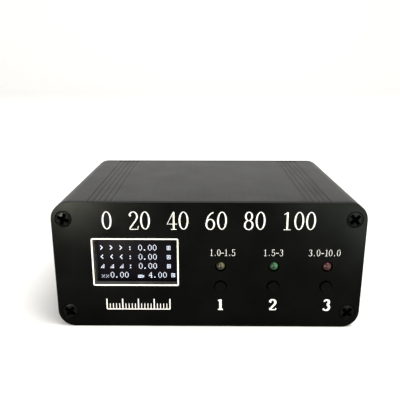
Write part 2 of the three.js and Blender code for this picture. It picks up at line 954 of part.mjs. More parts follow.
// Points of one winding about its core's middle: it circles the core's section as it goes round
// the ring, and each of its ends runs down to the board
function windingPoints(perTurn) {
  const reach = windingWire + windingClearance;
  const middle = (coreOuterRadius + coreInnerRadius) / 2;
  const across = (coreOuterRadius - coreInnerRadius) / 2 + reach;
  const along = coreLength / 2 + reach;
  const flat = (value) => Math.sign(value) * Math.sqrt(Math.abs(value));
  const steps = windingTurns * perTurn;
  const points = [];
  for (let step = 0; step <= steps; step += 1) {
    const turn = (2 * Math.PI * (step + 1 / 2)) / perTurn;
    const around = 2 * Math.PI * windingRoomShare * (step / steps - 1 / 2) + Math.PI / 2;
    const radius = middle + across * flat(Math.cos(turn));
    const y = along * flat(Math.sin(turn));
    points.push(new THREE.Vector3(radius * Math.cos(around), y, radius * Math.sin(around)));
  }
  const foot = mainBoardTop + seatGap - coreZ;
  const [first, last] = [points[0], points[steps]];
  const ends = [first, last].map((point) => new THREE.Vector3(point.x, point.y, foot));
  return [ends[0], ...points, ends[1]];
}

// The least gap between any two points of one wire that lie at least half a turn apart
function leastGap(points, halfTurn, radius) {
  let least = Infinity;
  points.forEach((point, index) => {
    for (const other of points.slice(index + halfTurn)) {
      least = Math.min(least, point.distanceTo(other) - 2 * radius);
    }
  });
  return least;
}

// A round wire along a line
function wire(line, radius, sides, steps) {
  const section = new THREE.Shape();
  for (let side = 0; side < sides; side += 1) {
    const angle = (2 * Math.PI * side) / sides;
    const [x, y] = [radius * Math.cos(angle), radius * Math.sin(angle)];
    if (side === 0) section.moveTo(x, y);
    else section.lineTo(x, y);
  }
  section.closePath();
  const options = { steps, extrudePath: line, bevelEnabled: false };
  return solid(new THREE.ExtrudeGeometry(section, options));
}

// A winding of round wire on a core
function winding() {
  const line = new THREE.CatmullRomCurve3(windingPoints(stepsPerTurn), false, "centripetal");
  line.arcLengthDivisions = stepsPerTurn * stepsPerTurn * windingTurns;
  return wire(line, windingWire, windingSides, stepsPerTurn * windingTurns);
}

// The wire from a socket's solder cup, up through its core and down to the main board
function lineWire() {
  const steps = 18;
  const coreFront = coreY - coreLength / 2 - windingReach;
  const foot = mainBoardTop + seatGap;
  const line = new THREE.CatmullRomCurve3(
    [
      [0, cupEnd + lineInCup, midHeight],
      [0, cupEnd - lineRadius, midHeight],
      [0, cupEnd - lineLead, (midHeight + coreZ) / 2],
      [0, coreY + coreLength / 2 + windingReach, coreZ],
      [0, coreY, coreZ],
      [0, coreFront, coreZ],
      [0, coreFront - lineFoot / 2, coreZ - lineRadius],
      [0, coreFront - lineFoot, (coreZ + foot) / 2],
      [0, coreFront - lineFoot, foot],
    ].map((point) => new THREE.Vector3(...point)),
    false,
    "centripetal",
  );
  return wire(line, lineRadius, wireSides, steps);
}

// A battery lead: up from the cell's front edge and back to the main board's underside
function batteryLead() {
  const steps = 12;
  const front = batteryFront;
  const middle = batteryUnderside + batteryHeight / 2;
  const top = mainBoardUnderside - seatGap;
  const line = new THREE.CatmullRomCurve3(
    [
      [0, front - seatGap, middle],
      [0, front - batteryLeadReach / 2, middle],
      [0, front - batteryLeadReach, (middle + top) / 2],
      [0, front - batteryLeadReach / 2, top - batteryLeadReach],
      [0, front, top - batteryLeadRadius],
      [0, front, top],
    ].map((point) => new THREE.Vector3(...point)),
    false,
    "centripetal",
  );
  return wire(line, batteryLeadRadius, wireSides, steps);
}

// A flat chip with a row of pins along two of its sides
function chip(width, length, height, pins, pitch) {
  const body = block(
    -width / 2,
    width / 2,
    -length / 2,
    length / 2,
    chipPinThickness / 2,
    height,
  );
  const rows = [];
  for (let index = 0; index < pins; index += 1) {
    const y = (index - (pins - 1) / 2) * pitch;
    rows.push(
      block(
        -width / 2 - chipPinReach,
        width / 2 + chipPinReach,
        y - chipPinWidth / 2,
        y + chipPinWidth / 2,
        0,
        chipPinThickness,
      ),
    );
  }
  return joined([body, ...rows]);
}

// Case and its screws
const shellSolid = shell();
place("bottom_shell", shellSolid, blackAnodised);
const upperHalf = new THREE.Group();
upperHalf.position.z = caseHeight;
upperHalf.rotation.y = Math.PI;
meter.add(upperHalf);
place("top_shell", shellSolid, blackAnodised, [0, 0, 0], 0, upperHalf);
place("front_panel", frontPanel(), blackAnodised);
place("rear_panel", rearPanel(), blackAnodised);
const screwSolid = panelScrew();
cornerPlaces.forEach(([x, z], index) => {
  const front = [x, frontFace, z];
  place(`front_screw_${index + 1}`, screwSolid, blackSteel, front, frontScrewTurns[index]);
  const turnedRound = new THREE.Group();
  turnedRound.position.set(x, rearFace, z);
  turnedRound.rotation.z = Math.PI;
  meter.add(turnedRound);
  const name = `rear_screw_${index + 1}`;
  place(name, screwSolid, blackSteel, [0, 0, 0], rearScrewTurns[index], turnedRound);
});

// Display and the boards
place(
  "display_film",
  block(
    glassX - glassWidth / 2 + filmSideMargin,
    glassX + glassWidth / 2 - filmSideMargin,
    filmFront,
    glassFront,
    glassTop - filmTopMargin - filmHeight,
    glassTop - filmTopMargin,
  ),
  screenFilm,
);
place(
  "display_glass",
  block(
    glassX - glassWidth / 2,
    glassX + glassWidth / 2,
    glassFront,
    displayBoardFront,
    glassTop - glassHeight,
    glassTop,
  ),
  displayGlass,
);
place("display_board", displayBoard(), greenBoard);
place("display_header", displayHeader(), blackPlastic);
place("front_board", frontBoard(), greenBoard);
place("board_link", boardLink(), blackPlastic);
place("main_board", mainBoard(), greenBoard);

// Indicators, switches and buttons, from the left
const lenses = [
  ["indicator_yellow", yellowLens],
  ["indicator_green", greenLens],
  ["indicator_red", redLens],
];
const indicatorSolid = indicator();
const switchSolid = switchBody();
const buttonSolid = button();
controlColumns.forEach((x, index) => {
  const [name, lens] = lenses[index];
  place(name, indicatorSolid, lens, [x, 0, indicatorZ]);
  place(`switch_body_${index + 1}`, switchSolid, blackPlastic, [x, 0, buttonZ]);
  place(`button_${index + 1}`, buttonSolid, blackPlastic, [x, 0, buttonZ]);
});

// Coaxial sockets with their measuring lines, input on the left seen from the front
const shellOfSocket = socketShell();
const insulatorSolid = socketInsulator();
const contactSolid = socketContact();
const flangeScrewSolid = flangeScrew();
const coreSolid = core();
const windingSolid = winding();
const lineSolid = lineWire();
const finePoints = windingPoints(stepsPerTurn * stepsPerTurn);
const windingGap = leastGap(finePoints, (stepsPerTurn * stepsPerTurn) / 2, windingWire);
console.log(`least gap between turns of a winding: ${windingGap.toFixed(2)} mm`);
["input", "antenna"].forEach((name, index) => {
  const x = index === 0 ? -socketOffset : socketOffset;
  place(`${name}_socket_shell`, shellOfSocket, nickel, [x, 0, midHeight]);
  place(`${name}_socket_insulator`, insulatorSolid, whitePlastic, [x, 0, midHeight]);
  place(`${name}_socket_contact`, contactSolid, goldContact, [x, 0, midHeight]);
  flangeCorners.forEach(([dx, dz], corner) => {
    const seat = new THREE.Group();
    seat.position.set(x + dx, rearFace + flangeThickness, midHeight + dz);
    seat.rotation.z = Math.PI;
    meter.add(seat);
    const turn = flangeScrewTurns[index * flangeCorners.length + corner];
    const screwName = `${name}_flange_screw_${corner + 1}`;
    place(screwName, flangeScrewSolid, blackSteel, [0, 0, 0], turn, seat);
  });
  place(`${name}_core`, coreSolid, ferrite, [x, coreY, coreZ]);
  place(`${name}_winding`, windingSolid, copper, [x, coreY, coreZ]);
  place(`${name}_line`, lineSolid, copper, [x, 0, 0]);
});

// Charging socket and slide switch
place("charging_socket_shell", usbShell(), nickel);
place("charging_socket_tongue", usbTongue(), blackPlastic);
place("power_switch_body", slideBody(), nickel);
place("power_switch_lever", slideLever(), blackPlastic);

// Battery, its tape and its leads
const cell = roundedRectangle(batteryWidth, batteryHeight, batteryCorner, 0, 0);
place(
  "battery",
  drawnOut(cell, batteryFront, batteryRear),
  silverPouch,
  [0, 0, batteryUnderside + batteryHeight / 2],
);
place(
  "battery_tape",
  block(
    batteryTapeMargin - batteryWidth / 2,
    batteryWidth / 2 - batteryTapeMargin,
    batteryFront + batteryTapeMargin,
    batteryRear - batteryTapeMargin,
    wall,
    batteryUnderside,
  ),
  whiteFoam,
);
const leadSolid = batteryLead();
place("battery_lead_red", leadSolid, redSleeve, [-batteryLeadPitch / 2, 0, 0]);
place("battery_lead_black", leadSolid, blackSleeve, [batteryLeadPitch / 2, 0, 0]);

// Chips on the main board
place(
  "controller_chip",
  chip(controllerWidth, controllerWidth, controllerHeight, controllerPins, controllerPinPitch),
  blackPlastic,
  [controllerX, mainBoardFront + controllerInset, mainBoardTop],
);
place(
  "charger_chip",
  chip(chargerWidth, chargerLength, chargerHeight, controllerPins / 2, controllerPinPitch),
  blackPlastic,
  [chargerX, tongueBoardRear - chargerInset, mainBoardTop],
);

export default meter;
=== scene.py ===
"""A table-top power and standing-wave meter, dressed over its packed frame.

The case is a black anodised extrusion in two halves, closed by two flat panels.
Lengths are metres in the frame's axes: X to the right seen from the front, Y to the back, Z up.
"""

import math

import bpy
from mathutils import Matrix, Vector


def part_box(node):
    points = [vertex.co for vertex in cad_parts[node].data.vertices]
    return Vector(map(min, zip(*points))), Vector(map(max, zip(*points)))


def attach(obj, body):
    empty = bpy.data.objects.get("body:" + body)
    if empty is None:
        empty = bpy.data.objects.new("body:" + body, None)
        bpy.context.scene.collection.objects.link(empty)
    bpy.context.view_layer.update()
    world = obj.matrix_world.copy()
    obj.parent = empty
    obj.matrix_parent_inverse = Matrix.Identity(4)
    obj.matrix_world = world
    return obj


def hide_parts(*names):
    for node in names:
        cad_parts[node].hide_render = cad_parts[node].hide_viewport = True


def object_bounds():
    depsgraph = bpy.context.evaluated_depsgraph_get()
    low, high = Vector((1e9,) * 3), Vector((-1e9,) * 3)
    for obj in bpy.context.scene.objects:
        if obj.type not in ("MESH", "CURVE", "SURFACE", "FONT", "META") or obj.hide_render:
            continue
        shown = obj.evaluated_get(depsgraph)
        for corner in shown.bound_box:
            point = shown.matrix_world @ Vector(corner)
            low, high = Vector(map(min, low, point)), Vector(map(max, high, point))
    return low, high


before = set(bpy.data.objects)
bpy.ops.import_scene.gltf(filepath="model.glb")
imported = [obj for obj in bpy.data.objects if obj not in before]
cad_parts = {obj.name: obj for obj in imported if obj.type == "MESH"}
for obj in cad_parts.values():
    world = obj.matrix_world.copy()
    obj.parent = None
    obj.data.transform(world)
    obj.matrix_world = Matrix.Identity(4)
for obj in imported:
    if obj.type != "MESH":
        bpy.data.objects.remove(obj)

bl_info = {
    "name": "Power meter builder",
    "version": (1, 0, 0),
    "blender": (4, 5, 0),
    "location": "View3D > Sidebar > Meter",
    "description": "Builds the fine pieces of a small radio power meter over its packed frame",
    "category": "Object",
}

MM = 0.001
# Two places closer than this count as one
NEAR = 1e-6
CAD_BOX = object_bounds()


def linear(code):
    """An sRGB hex colour as linear red, green and blue"""
    values = [int(code[i : i + 2], 16) / 255 for i in (1, 3, 5)]
    return tuple(v / 12.92 if v <= 0.04045 else ((v + 0.055) / 1.055) ** 2.4 for v in values)


def length(name, description, mm):
    """A length of the part, shown in the scene's unit"""
    return bpy.props.FloatProperty(
        name=name, description=description, default=mm * MM, unit="LENGTH", precision=5
    )


def colour(name, description, code):
    """A finish's colour, given as sRGB hex"""
    return bpy.props.FloatVectorProperty(
        name=name,
        description=description,
        default=linear(code),
        subtype="COLOR",
        size=3,
        min=0,
        max=1,
    )


class MeterCaseSizes(bpy.types.PropertyGroup):
    """Sizes of the extruded case and its panels"""

    corner: length("Corner radius", "Radius of the case's long edges", 5)
    wall: length("Wall", "Thickness of the extrusion's wall", 1.8)
    seam_gap: length("Seam gap", "Gap between the two halves", 0.1)
    seam_bevel: length("Seam bevel", "Bevel on both sides of the seam", 0.3)
    tongue_height: length("Tongue height", "Height of the lap joint's tongue over the seam", 1.6)
    tongue: length("Tongue thickness", "Thickness of the lap joint's tongue", 0.75)
    lap: length("Lap clearance", "Clearance in the lap joint", 0.15)
    groove_radius: length("Groove radius", "Radius of the hollow of one long groove", 0.6)
    groove_depth: length("Groove depth", "Depth of one long groove", 0.2)
    groove_first: length("First groove", "Distance of the innermost groove from the middle", 27.15)
    groove_pitch: length("Groove pitch", "Distance from one groove to the next", 1.64)
    channel_side: length("Channel from side", "Screw channel's axis from the case's side", 3.5)
    channel_up: length("Channel from base", "Screw channel's axis from the case's base", 4.8)
    channel_radius: length("Channel radius", "Outer radius of a screw channel", 3.1)
    channel_bore: length("Channel bore", "Radius of a screw channel's bore", 1.25)
    channel_slit: length("Channel slit", "Width of a screw channel's slit", 1)
    rib: length("Rib thickness", "Thickness of a board slot's rib", 1)
    rib_depth: length("Rib depth", "How far a board slot's rib stands in", 1.8)
    slot_clearance: length("Slot clearance", "Clearance of the board in its slot", 0.3)
    sink_radius: length("Sink radius", "Radius of a panel's countersink", 2.38)
    sink_depth: length("Sink depth", "Depth of a panel's countersink", 1.15)
    hole_radius: length("Hole radius", "Radius of a panel's screw hole", 1.45)
    panel_ease: length("Panel edge", "Eased edge of a panel", 0.14)
    window_left: length("Window left", "Left edge of the display window", -32.58)
    window_right: length("Window right", "Right edge of the display window", -9.08)
    window_low: length("Window low", "Lower edge of the display window", 13.68)
    window_high: length("Window high", "Upper edge of the display window", 26.98)
    window_corner: length("Window corner", "Corner radius of the display window", 0.25)


class MeterScrewSizes(bpy.types.PropertyGroup):
    """Sizes of the panel screws and the flange screws"""

    head: length("Head radius", "Radius of a panel screw's head", 2.2)
    crown: length("Crown", "How far a panel screw's head is crowned", 0.2)
    shank: length("Shank radius", "Radius of a panel screw's shank", 1.15)
    reach: length("Length", "Length of a panel screw", 9)
    cross: length("Cross length", "Length of the cross recess", 3.5)
    cross_width: length("Cross width", "Width of the cross recess", 1.06)
    cross_depth: length("Cross depth", "Depth of the cross recess", 1.3)
    pan: length("Pan radius", "Radius of a flange screw's head", 2.6)
    pan_height: length("Pan height", "Height of a flange screw's head", 1.7)
    pan_shank: length("Pan shank", "Radius of a flange screw's shank", 1.45)
    pan_reach: length("Pan length", "Length of a flange screw under its head", 6.5)


class MeterDisplaySizes(bpy.types.PropertyGroup):
    """Sizes of the display's picture"""

    dot_x: length("Dot pitch across", "Width of one dot of the picture", 0.1734)
    dot_z: length("Dot pitch up", "Height of one dot of the picture", 0.1766)
    centre_x: length("Picture centre X", "Middle of the picture across", -20.3)
    centre_z: length("Picture centre Z", "Middle of the picture in height", 19.8)
    gap: length("Dot gap", "Dark gap on each side of a dot", 0.012)
    proud: length("Picture thickness", "How far the picture stands on its film", 0.02)


class MeterControlSizes(bpy.types.PropertyGroup):
    """Sizes of the indicators and the buttons"""

    lens: length("Indicator radius", "Radius of an indicator's lens", 1.5)
    rim: length("Rim radius", "Radius of an indicator's rim", 1.9)
    rim_height: length("Rim height", "Thickness of an indicator's rim", 1)
    lens_length: length("Indicator length", "Length of an indicator without its leads", 5.3)
    lens_hole: length("Indicator hole", "Radius of an indicator's hole", 1.62)
    button: length("Button radius", "Radius of a button", 1.6)
    button_edge: length("Button edge", "Rounding of a button's edge", 0.3)
    button_hole: length("Button hole", "Radius of a button's hole", 1.88)


class MeterSocketSizes(bpy.types.PropertyGroup):
    """Sizes of the coaxial sockets, the charging socket and the slide switch"""

    barrel: length("Barrel radius", "Outer radius of the threaded barrel", 7.94)
    bore: length("Barrel bore", "Radius of the barrel's bore", 6.3)
    bore_depth: length("Bore depth", "Depth of the barrel's bore", 8)
    thread_pitch: length("Thread pitch", "Distance from one turn of the thread to the next", 1.058)
    thread_depth: length("Thread depth", "Depth of the thread", 0.62)
    flange: length("Flange width", "Width of the square flange", 25.4)
    flange_thick: length("Flange thickness", "Thickness of the flange", 1.7)
    flange_corner: length("Flange corner", "Corner radius of the flange", 1.5)
    boss: length("Boss radius", "Radius of the boss in the panel's hole", 7.6)
    notch: length("Notch width", "Width of a notch in the mouth", 1.6)
    notch_depth: length("Notch depth", "Depth of a notch in the mouth", 1.2)
    screw_pitch: length("Screw pitch", "Distance between the flange's screws", 18.26)
    screw_hole: length("Screw hole", "Radius of a flange's screw hole", 1.6)
    column: length("Insulator radius", "Radius of the insulator's column", 4.5)
    tail: length("Insulator tail", "Radius of the insulator's tail", 4.7)
    contact: length("Contact radius", "Outer radius of the centre contact", 2.75)
    contact_bore: length("Contact bore", "Radius of the centre contact's bore", 2)
    cup: length("Cup radius", "Radius of the solder cup", 2)
    slit: length("Contact slit", "Width of a slit in the centre contact", 0.45)
    usb_corner: length("Charging corner", "Corner radius of the charging socket", 1.3)
    usb_wall: length("Charging wall", "Wall of the charging socket's shell", 0.3)
    usb_margin: length("Charging margin", "Margin round the charging socket", 0.35)


class MeterPrintSizes(bpy.types.PropertyGroup):
    """Sizes of the printed marks"""

    ink: length("Ink thickness", "How far the ink stands on the panel", 0.03)
    frame_line: length("Frame line", "Width of the line round the window", 0.43)
    frame_left: length("Frame left", "Left edge of the line round the window", -33.2)
    frame_right: length("Frame right", "Right edge of the line round the window", -8.5)
    frame_low: length("Frame low", "Lower edge of the line round the window", 13)
    frame_high: length("Frame high", "Upper edge of the line round the window", 27.54)
    scale_left: length("Scale left", "Left end of the large scale's numbers", -29.9)
    scale_right: length("Scale right", "Right end of the large scale's numbers", 30.1)
    scale_low: length("Scale low", "Foot of the large scale's numbers", 30.15)
    scale_height: length("Scale height", "Height of the large scale's numbers", 5.35)
    tick_left: length("Ticks left", "Left end of the row of ticks", -29.6)
    tick_right: length("Ticks right", "Right end of the row of ticks", -11.2)
    tick_low: length("Ticks low", "Foot of the row of ticks", 5.55)
    tick_height: length("Tick height", "Height of the longest tick", 3.3)


class MeterColours(bpy.types.PropertyGroup):
    """Colours of the finishes"""

    case_black: colour("Case black", "Black anodising of the extrusion", "#121212")
    panel_black: colour("Panel black", "Black anodising of the panels", "#0c0d0c")
    ink_white: colour("Ink", "White screen print", "#c4c4c0")
    dot_white: colour("Dots", "Lit dots of the display", "#e6eeff")
    film_dark: colour("Film", "Dark film over the display", "#050407")
    glass_grey: colour("Glass", "Bare border of the display's glass", "#2c302e")
    milled_grey: colour("Milled edge", "Dyed walls of the display window", "#868683")
    screw_black: colour("Screw black", "Black zinc on the screws", "#101110")
    yellow_lens: colour("Yellow indicator", "Unlit yellow indicator", "#212011")
    green_lens: colour("Green indicator", "Unlit green indicator", "#0e2a15")
    red_lens: colour("Red indicator", "Unlit red indicator", "#2c0b0b")
    plastic_black: colour("Black plastic", "Moulded black plastic", "#040404")
    nickel: colour("Nickel", "Nickel plate", "#c9c3b6")
    insulator: colour("Insulator", "Turned white insulator", "#e9e7df")
    gold: colour("Gold", "Gold flash on the contacts", "#d9b25a")
    board: colour("Board", "Green solder mask", "#1b5a35")
    ferrite: colour("Ferrite", "Coated ring core", "#3a3a3d")
    copper: colour("Copper", "Enamelled copper wire", "#b5672f")
    tin: colour("Tin", "Tinned leads and solder", "#c4c6c8")
    pouch: colour("Pouch", "Laminate of the battery", "#b4b6b9")
    foam: colour("Foam", "Foam tape", "#dad8d0")
    red_sleeve: colour("Red sleeve", "Red silicone sleeve", "#a51f1f")
    black_sleeve: colour("Black sleeve", "Black silicone sleeve", "#191919")
    floor: colour("Floor", "Pale studio sweep", "#f8f7f5")


GROUPS = {
    "meter_case": MeterCaseSizes,
    "meter_screws": MeterScrewSizes,
    "meter_display": MeterDisplaySizes,
    "meter_controls": MeterControlSizes,
    "meter_sockets": MeterSocketSizes,
    "meter_print": MeterPrintSizes,
    "meter_colours": MeterColours,
}


# Materials

# In a MULTIPLY_ADD node socket 0 is the value, 1 its factor and 2 what is added to it. In a
# colour Mix node socket 0 is the factor, and 6 and 7 are the two colours.
NOISE = "ShaderNodeTexNoise"
RAMP = "ShaderNodeValToRGB"
MATH = "ShaderNodeMath"
BUMP = "ShaderNodeBump"
MAPPING = "ShaderNodeMapping"


def add_node(tree, kind, settings=None, links=None, stops=(), output=0):
    """Adds a node with its settings, what feeds it and a ramp's stops; gives one of its outputs"""
    node = tree.nodes.new(kind)
    for key, value in (settings or {}).items():
        if isinstance(key, str) and hasattr(node, key):
            setattr(node, key, value)
        else:
            node.inputs[key].default_value = value
    for key, source in (links or {}).items():
        tree.links.new(source, node.inputs[key])
    for index, (position, rgb) in enumerate(stops):
        elements = node.color_ramp.elements
        stop = elements[index] if index < len(elements) else elements.new(position)
        stop.position = position
        stop.color = (*rgb, 1)
    return node.outputs[output] if node.outputs else None


def per(mm):
    """A texture's scale for features of that size"""
    return 1 / (mm * MM)


def shade(rgb, factor):
    """A colour made lighter or darker"""
    return tuple(min(1, value * factor) for value in rgb)


def new_finish(name):
    """A new material: itself, its empty tree and the object's own coordinates"""
    material = bpy.data.materials.new(name)
    material.use_nodes = True
    tree = material.node_tree
    tree.nodes.clear()
    return material, tree, add_node(tree, "ShaderNodeTexCoord", output="Object")


def give_surface(tree, settings, links):
    """Ends a tree with its surface and what varies over it"""
    shader = add_node(tree, "ShaderNodeBsdfPrincipled", settings, links)
    add_node(tree, "ShaderNodeOutputMaterial", links={"Surface": shader})


def anodised(name, rgb, rough, lines):
    """Aluminium, blasted and anodised black: dark seen straight on, grey and satin at a glance.
    The lines of drawing run along Y on the extrusion. Grit of 0.1 mm is drawn at 0.3 mm."""
    material, tree, place = new_finish(name)
    settings = {"Scale": per(0.3), "Detail": 3, "Roughness": 0.6}
    grit = add_node(tree, NOISE, settings, {"Vector": place})
    cloud = add_node(tree, NOISE, {"Scale": per(9), "Detail": 3}, {"Vector": place})
    along = add_node(tree, MAPPING, {"Scale": (per(0.5), per(45), per(0.5))}, {"Vector": place})
    drawn = add_node(tree, NOISE, {"Scale": 1}, {"Vector": along})
    stops = ((0.3, shade(rgb, 0.86)), (0.7, shade(rgb, 1.2)))
    tint = add_node(tree, RAMP, None, {"Fac": cloud}, stops)
    settings = {"operation": "MULTIPLY_ADD", 1: 0.09, 2: rough - 0.045}
    satin = add_node(tree, MATH, settings, {0: cloud})
    settings = {"operation": "MULTIPLY_ADD", 1: lines}
    gloss = add_node(tree, MATH, settings, {0: drawn, 2: satin})
    settings = {"Strength": 0.5, "Distance": 0.012 * MM}
    grain = add_node(tree, BUMP, settings, {"Height": grit})
    settings = {"Strength": 0.2, "Distance": 0.003 * MM}
    relief = add_node(tree, BUMP, settings, {"Height": drawn, "Normal": grain})
    give_surface(tree, {"Metallic": 1}, {"Base Color": tint, "Roughness": gloss, "Normal": relief})
    return material


def screen_ink(rgb):
    """Screen-printed epoxy ink: flat white that lies a little thin where the screen was dry"""
    material, tree, place = new_finish("screen_print_ink")
    settings = {"Scale": per(0.35), "Detail": 3, "Roughness": 0.6}
    thin = add_node(tree, NOISE, settings, {"Vector": place})
    tint = add_node(tree, RAMP, None, {"Fac": thin}, ((0.25, shade(rgb, 0.84)), (0.6, rgb)))
    relief = add_node(tree, BUMP, {"Strength": 0.4, "Distance": 0.01 * MM}, {"Height": thin})
    give_surface(tree, {"Roughness": 0.55}, {"Base Color": tint, "Normal": relief})
    return material


def lit_dots(rgb):
    """Organic light-emitting dots: cold white, each row a touch uneven in brightness"""
    material, tree, place = new_finish("lit_display_dots")
    uneven = add_node(tree, NOISE, {"Scale": per(0.5), "Detail": 1}, {"Vector": place})
    tint = add_node(tree, RAMP, None, {"Fac": uneven}, ((0.3, shade(rgb, 0.8)), (0.7, rgb)))
    settings = {"Base Color": (0.02, 0.02, 0.02, 1), "Roughness": 0.4, "Emission Strength": 1.8}
    give_surface(tree, settings, {"Emission Color": tint})
    return material


def tinted_film(rgb):
    """Dark polarising film with a coat against reflections: nearly black with a violet cast"""
    material, tree, place = new_finish("polarising_film")
    settings = {"Scale": per(0.4), "Detail": 4, "Roughness": 0.7}
    dust = add_node(tree, NOISE, settings, {"Vector": place})
    tint = add_node(tree, RAMP, None, {"Fac": dust}, ((0.62, rgb), (0.75, shade(rgb, 3))))
    settings = {"operation": "MULTIPLY_ADD", 1: 0.3, 2: 0.28}
    gloss = add_node(tree, MATH, settings, {0: dust})
    settings = {"IOR": 1.49, "Specular IOR Level": 0.03}
    give_surface(tree, settings, {"Base Color": tint, "Roughness": gloss})
    return material


def display_glass(rgb):
    """Soda-lime glass with a ground edge over a grey-green back coat"""
    material, tree, place = new_finish("display_glass")
    coat = add_node(tree, NOISE, {"Scale": per(1.5)}, {"Vector": place})
    stops = ((0.3, shade(rgb, 0.8)), (0.7, shade(rgb, 1.15)))
    tint = add_node(tree, RAMP, None, {"Fac": coat}, stops)
    settings = {"Roughness": 0.15, "IOR": 1.52, "Coat Weight": 0.6, "Coat Roughness": 0.03}
    give_surface(tree, settings, {"Base Color": tint})
    return material


def black_zinc(name, rgb, rough):
    """Steel, zinc plated and blackened: a soft shine with cloudy passivation and fine pits"""
    material, tree, place = new_finish(name)
    settings = {"Scale": per(0.9), "Detail": 3, "Roughness": 0.6}
    cloud = add_node(tree, NOISE, settings, {"Vector": place})
    pits = add_node(tree, NOISE, {"Scale": per(0.16)}, {"Vector": place})
    stops = ((0.3, shade(rgb, 0.6)), (0.7, shade(rgb, 1.5)))
    tint = add_node(tree, RAMP, None, {"Fac": cloud}, stops)
    settings = {"operation": "MULTIPLY_ADD", 1: 0.3, 2: rough - 0.15}
    gloss = add_node(tree, MATH, settings, {0: cloud})
    relief = add_node(tree, BUMP, {"Strength": 0.35, "Distance": 0.01 * MM}, {"Height": pits})
    give_surface(tree, {"Metallic": 1}, {"Base Color": tint, "Roughness": gloss, "Normal": relief})
    return material


def epoxy_lens(name, rgb, middle, highlight_gain):
    """Tinted epoxy of an unlit indicator: darker in the middle and at the rim, with a painted
    highlight of the room's light in a pale ring between, brightest at the upper right"""
    material, tree, place = new_finish(name)
    reach = per(1.7)
    settings = {"Location": tuple(-v * reach for v in middle), "Scale": (reach,) * 3}
    round_it = add_node(tree, MAPPING, settings, {"Vector": place})
    kind = {"gradient_type": "SPHERICAL"}
    depth = add_node(tree, "ShaderNodeTexGradient", kind, {"Vector": round_it})
    stops = ((0.1, (0.1,) * 3), (0.32, (0.7,) * 3), (0.55, (0.95,) * 3), (0.9, (0.35,) * 3))
    ring = add_node(tree, RAMP, None, {"Fac": depth}, stops)
    # Painted highlight: a soft spot up and to the right of the middle brightens that side of the
    # ring
    reach = per(2.6)
    lit = middle + Vector((0.9, 0, 0.9)) * MM
    settings = {"Location": tuple(-v * reach for v in lit), "Scale": (reach,) * 3}
    aside = add_node(tree, MAPPING, settings, {"Vector": place})
    lamp = add_node(tree, "ShaderNodeTexGradient", kind, {"Vector": aside})
    clear = add_node(tree, MATH, {"operation": "MULTIPLY"}, {0: ring, 1: lamp})
    haze = add_node(tree, NOISE, {"Scale": per(0.5)}, {"Vector": place})
    settings = {"operation": "MULTIPLY_ADD", 1: 0.2}
    uneven = add_node(tree, MATH, settings, {0: haze, 2: clear})
    # The palest colour, at the painted highlight, is the lens colour brightened several times
    pale = tuple(min(1, value * highlight_gain + 0.018) for value in rgb)
    stops = ((0.12, shade(rgb, 0.35)), (0.42, rgb), (0.85, pale))
    tint = add_node(tree, RAMP, None, {"Fac": uneven}, stops)
    settings = {"Roughness": 0.13, "IOR": 1.54, "Specular IOR Level": 0.2}
    give_surface(tree, settings, {"Base Color": tint})
    return material


def moulded(name, rgb, rough=0.42, grain=0.18):
    """Glass-filled nylon or ABS from a spark-eroded mould: dull, with a fine even grain"""
    material, tree, place = new_finish(name)
    settings = {"Scale": per(grain), "Detail": 3, "Roughness": 0.6}
    texture = add_node(tree, NOISE, settings, {"Vector": place})
    flow = add_node(tree, NOISE, {"Scale": per(3)}, {"Vector": place})
    stops = ((0.3, shade(rgb, 0.85)), (0.7, shade(rgb, 1.15)))
    tint = add_node(tree, RAMP, None, {"Fac": flow}, stops)
    settings = {"operation": "MULTIPLY_ADD", 1: 0.3, 2: rough - 0.14}
    gloss = add_node(tree, MATH, settings, {0: texture})
    relief = add_node(tree, BUMP, {"Strength": 0.4, "Distance": 0.008 * MM}, {"Height": texture})
    settings = {"IOR": 1.5, "Specular IOR Level": 0.02}
    give_surface(tree, settings, {"Base Color": tint, "Roughness": gloss, "Normal": relief})
    return material


def plated(name, rgb, rough, turned_lines):
    """Plated brass, turned on a lathe: bright, with the tool's fine rings and some dull patches"""
    material, tree, place = new_finish(name)
    settings = {"Scale": per(4), "Detail": 3, "Roughness": 0.6}
    patch = add_node(tree, NOISE, settings, {"Vector": place})
    settings = {"Scale": (per(30), per(turned_lines), per(30))}
    around = add_node(tree, MAPPING, settings, {"Vector": place})
    rings = add_node(tree, NOISE, {"Scale": 1, "Detail": 1}, {"Vector": around})
    tint = add_node(tree, RAMP, None, {"Fac": patch}, ((0.3, shade(rgb, 0.84)), (0.7, rgb)))
    settings = {"operation": "MULTIPLY_ADD", 1: 0.42, 2: rough - 0.18}
    gloss = add_node(tree, MATH, settings, {0: patch})
    relief = add_node(tree, BUMP, {"Strength": 0.3, "Distance": 0.004 * MM}, {"Height": rings})
    give_surface(tree, {"Metallic": 1}, {"Base Color": tint, "Roughness": gloss, "Normal": relief})
    return material


def turned_white(rgb):
    """White fluoropolymer, turned: waxy, with faint rings and light passing a little into it"""
    material, tree, place = new_finish("turned_fluoropolymer")
    settings = {"Scale": (per(40), per(0.4), per(40))}
    around = add_node(tree, MAPPING, settings, {"Vector": place})
    rings = add_node(tree, NOISE, {"Scale": 1, "Detail": 1}, {"Vector": around})
    tint = add_node(tree, RAMP, None, {"Fac": rings}, ((0.3, shade(rgb, 0.94)), (0.7, rgb)))
    relief = add_node(tree, BUMP, {"Strength": 0.3, "Distance": 0.01 * MM}, {"Height": rings})
    settings = {"Roughness": 0.45, "IOR": 1.38, "Subsurface Weight": 0.15, "Subsurface Scale": MM}
    give_surface(tree, settings, {"Base Color": tint, "Normal": relief})
    return material


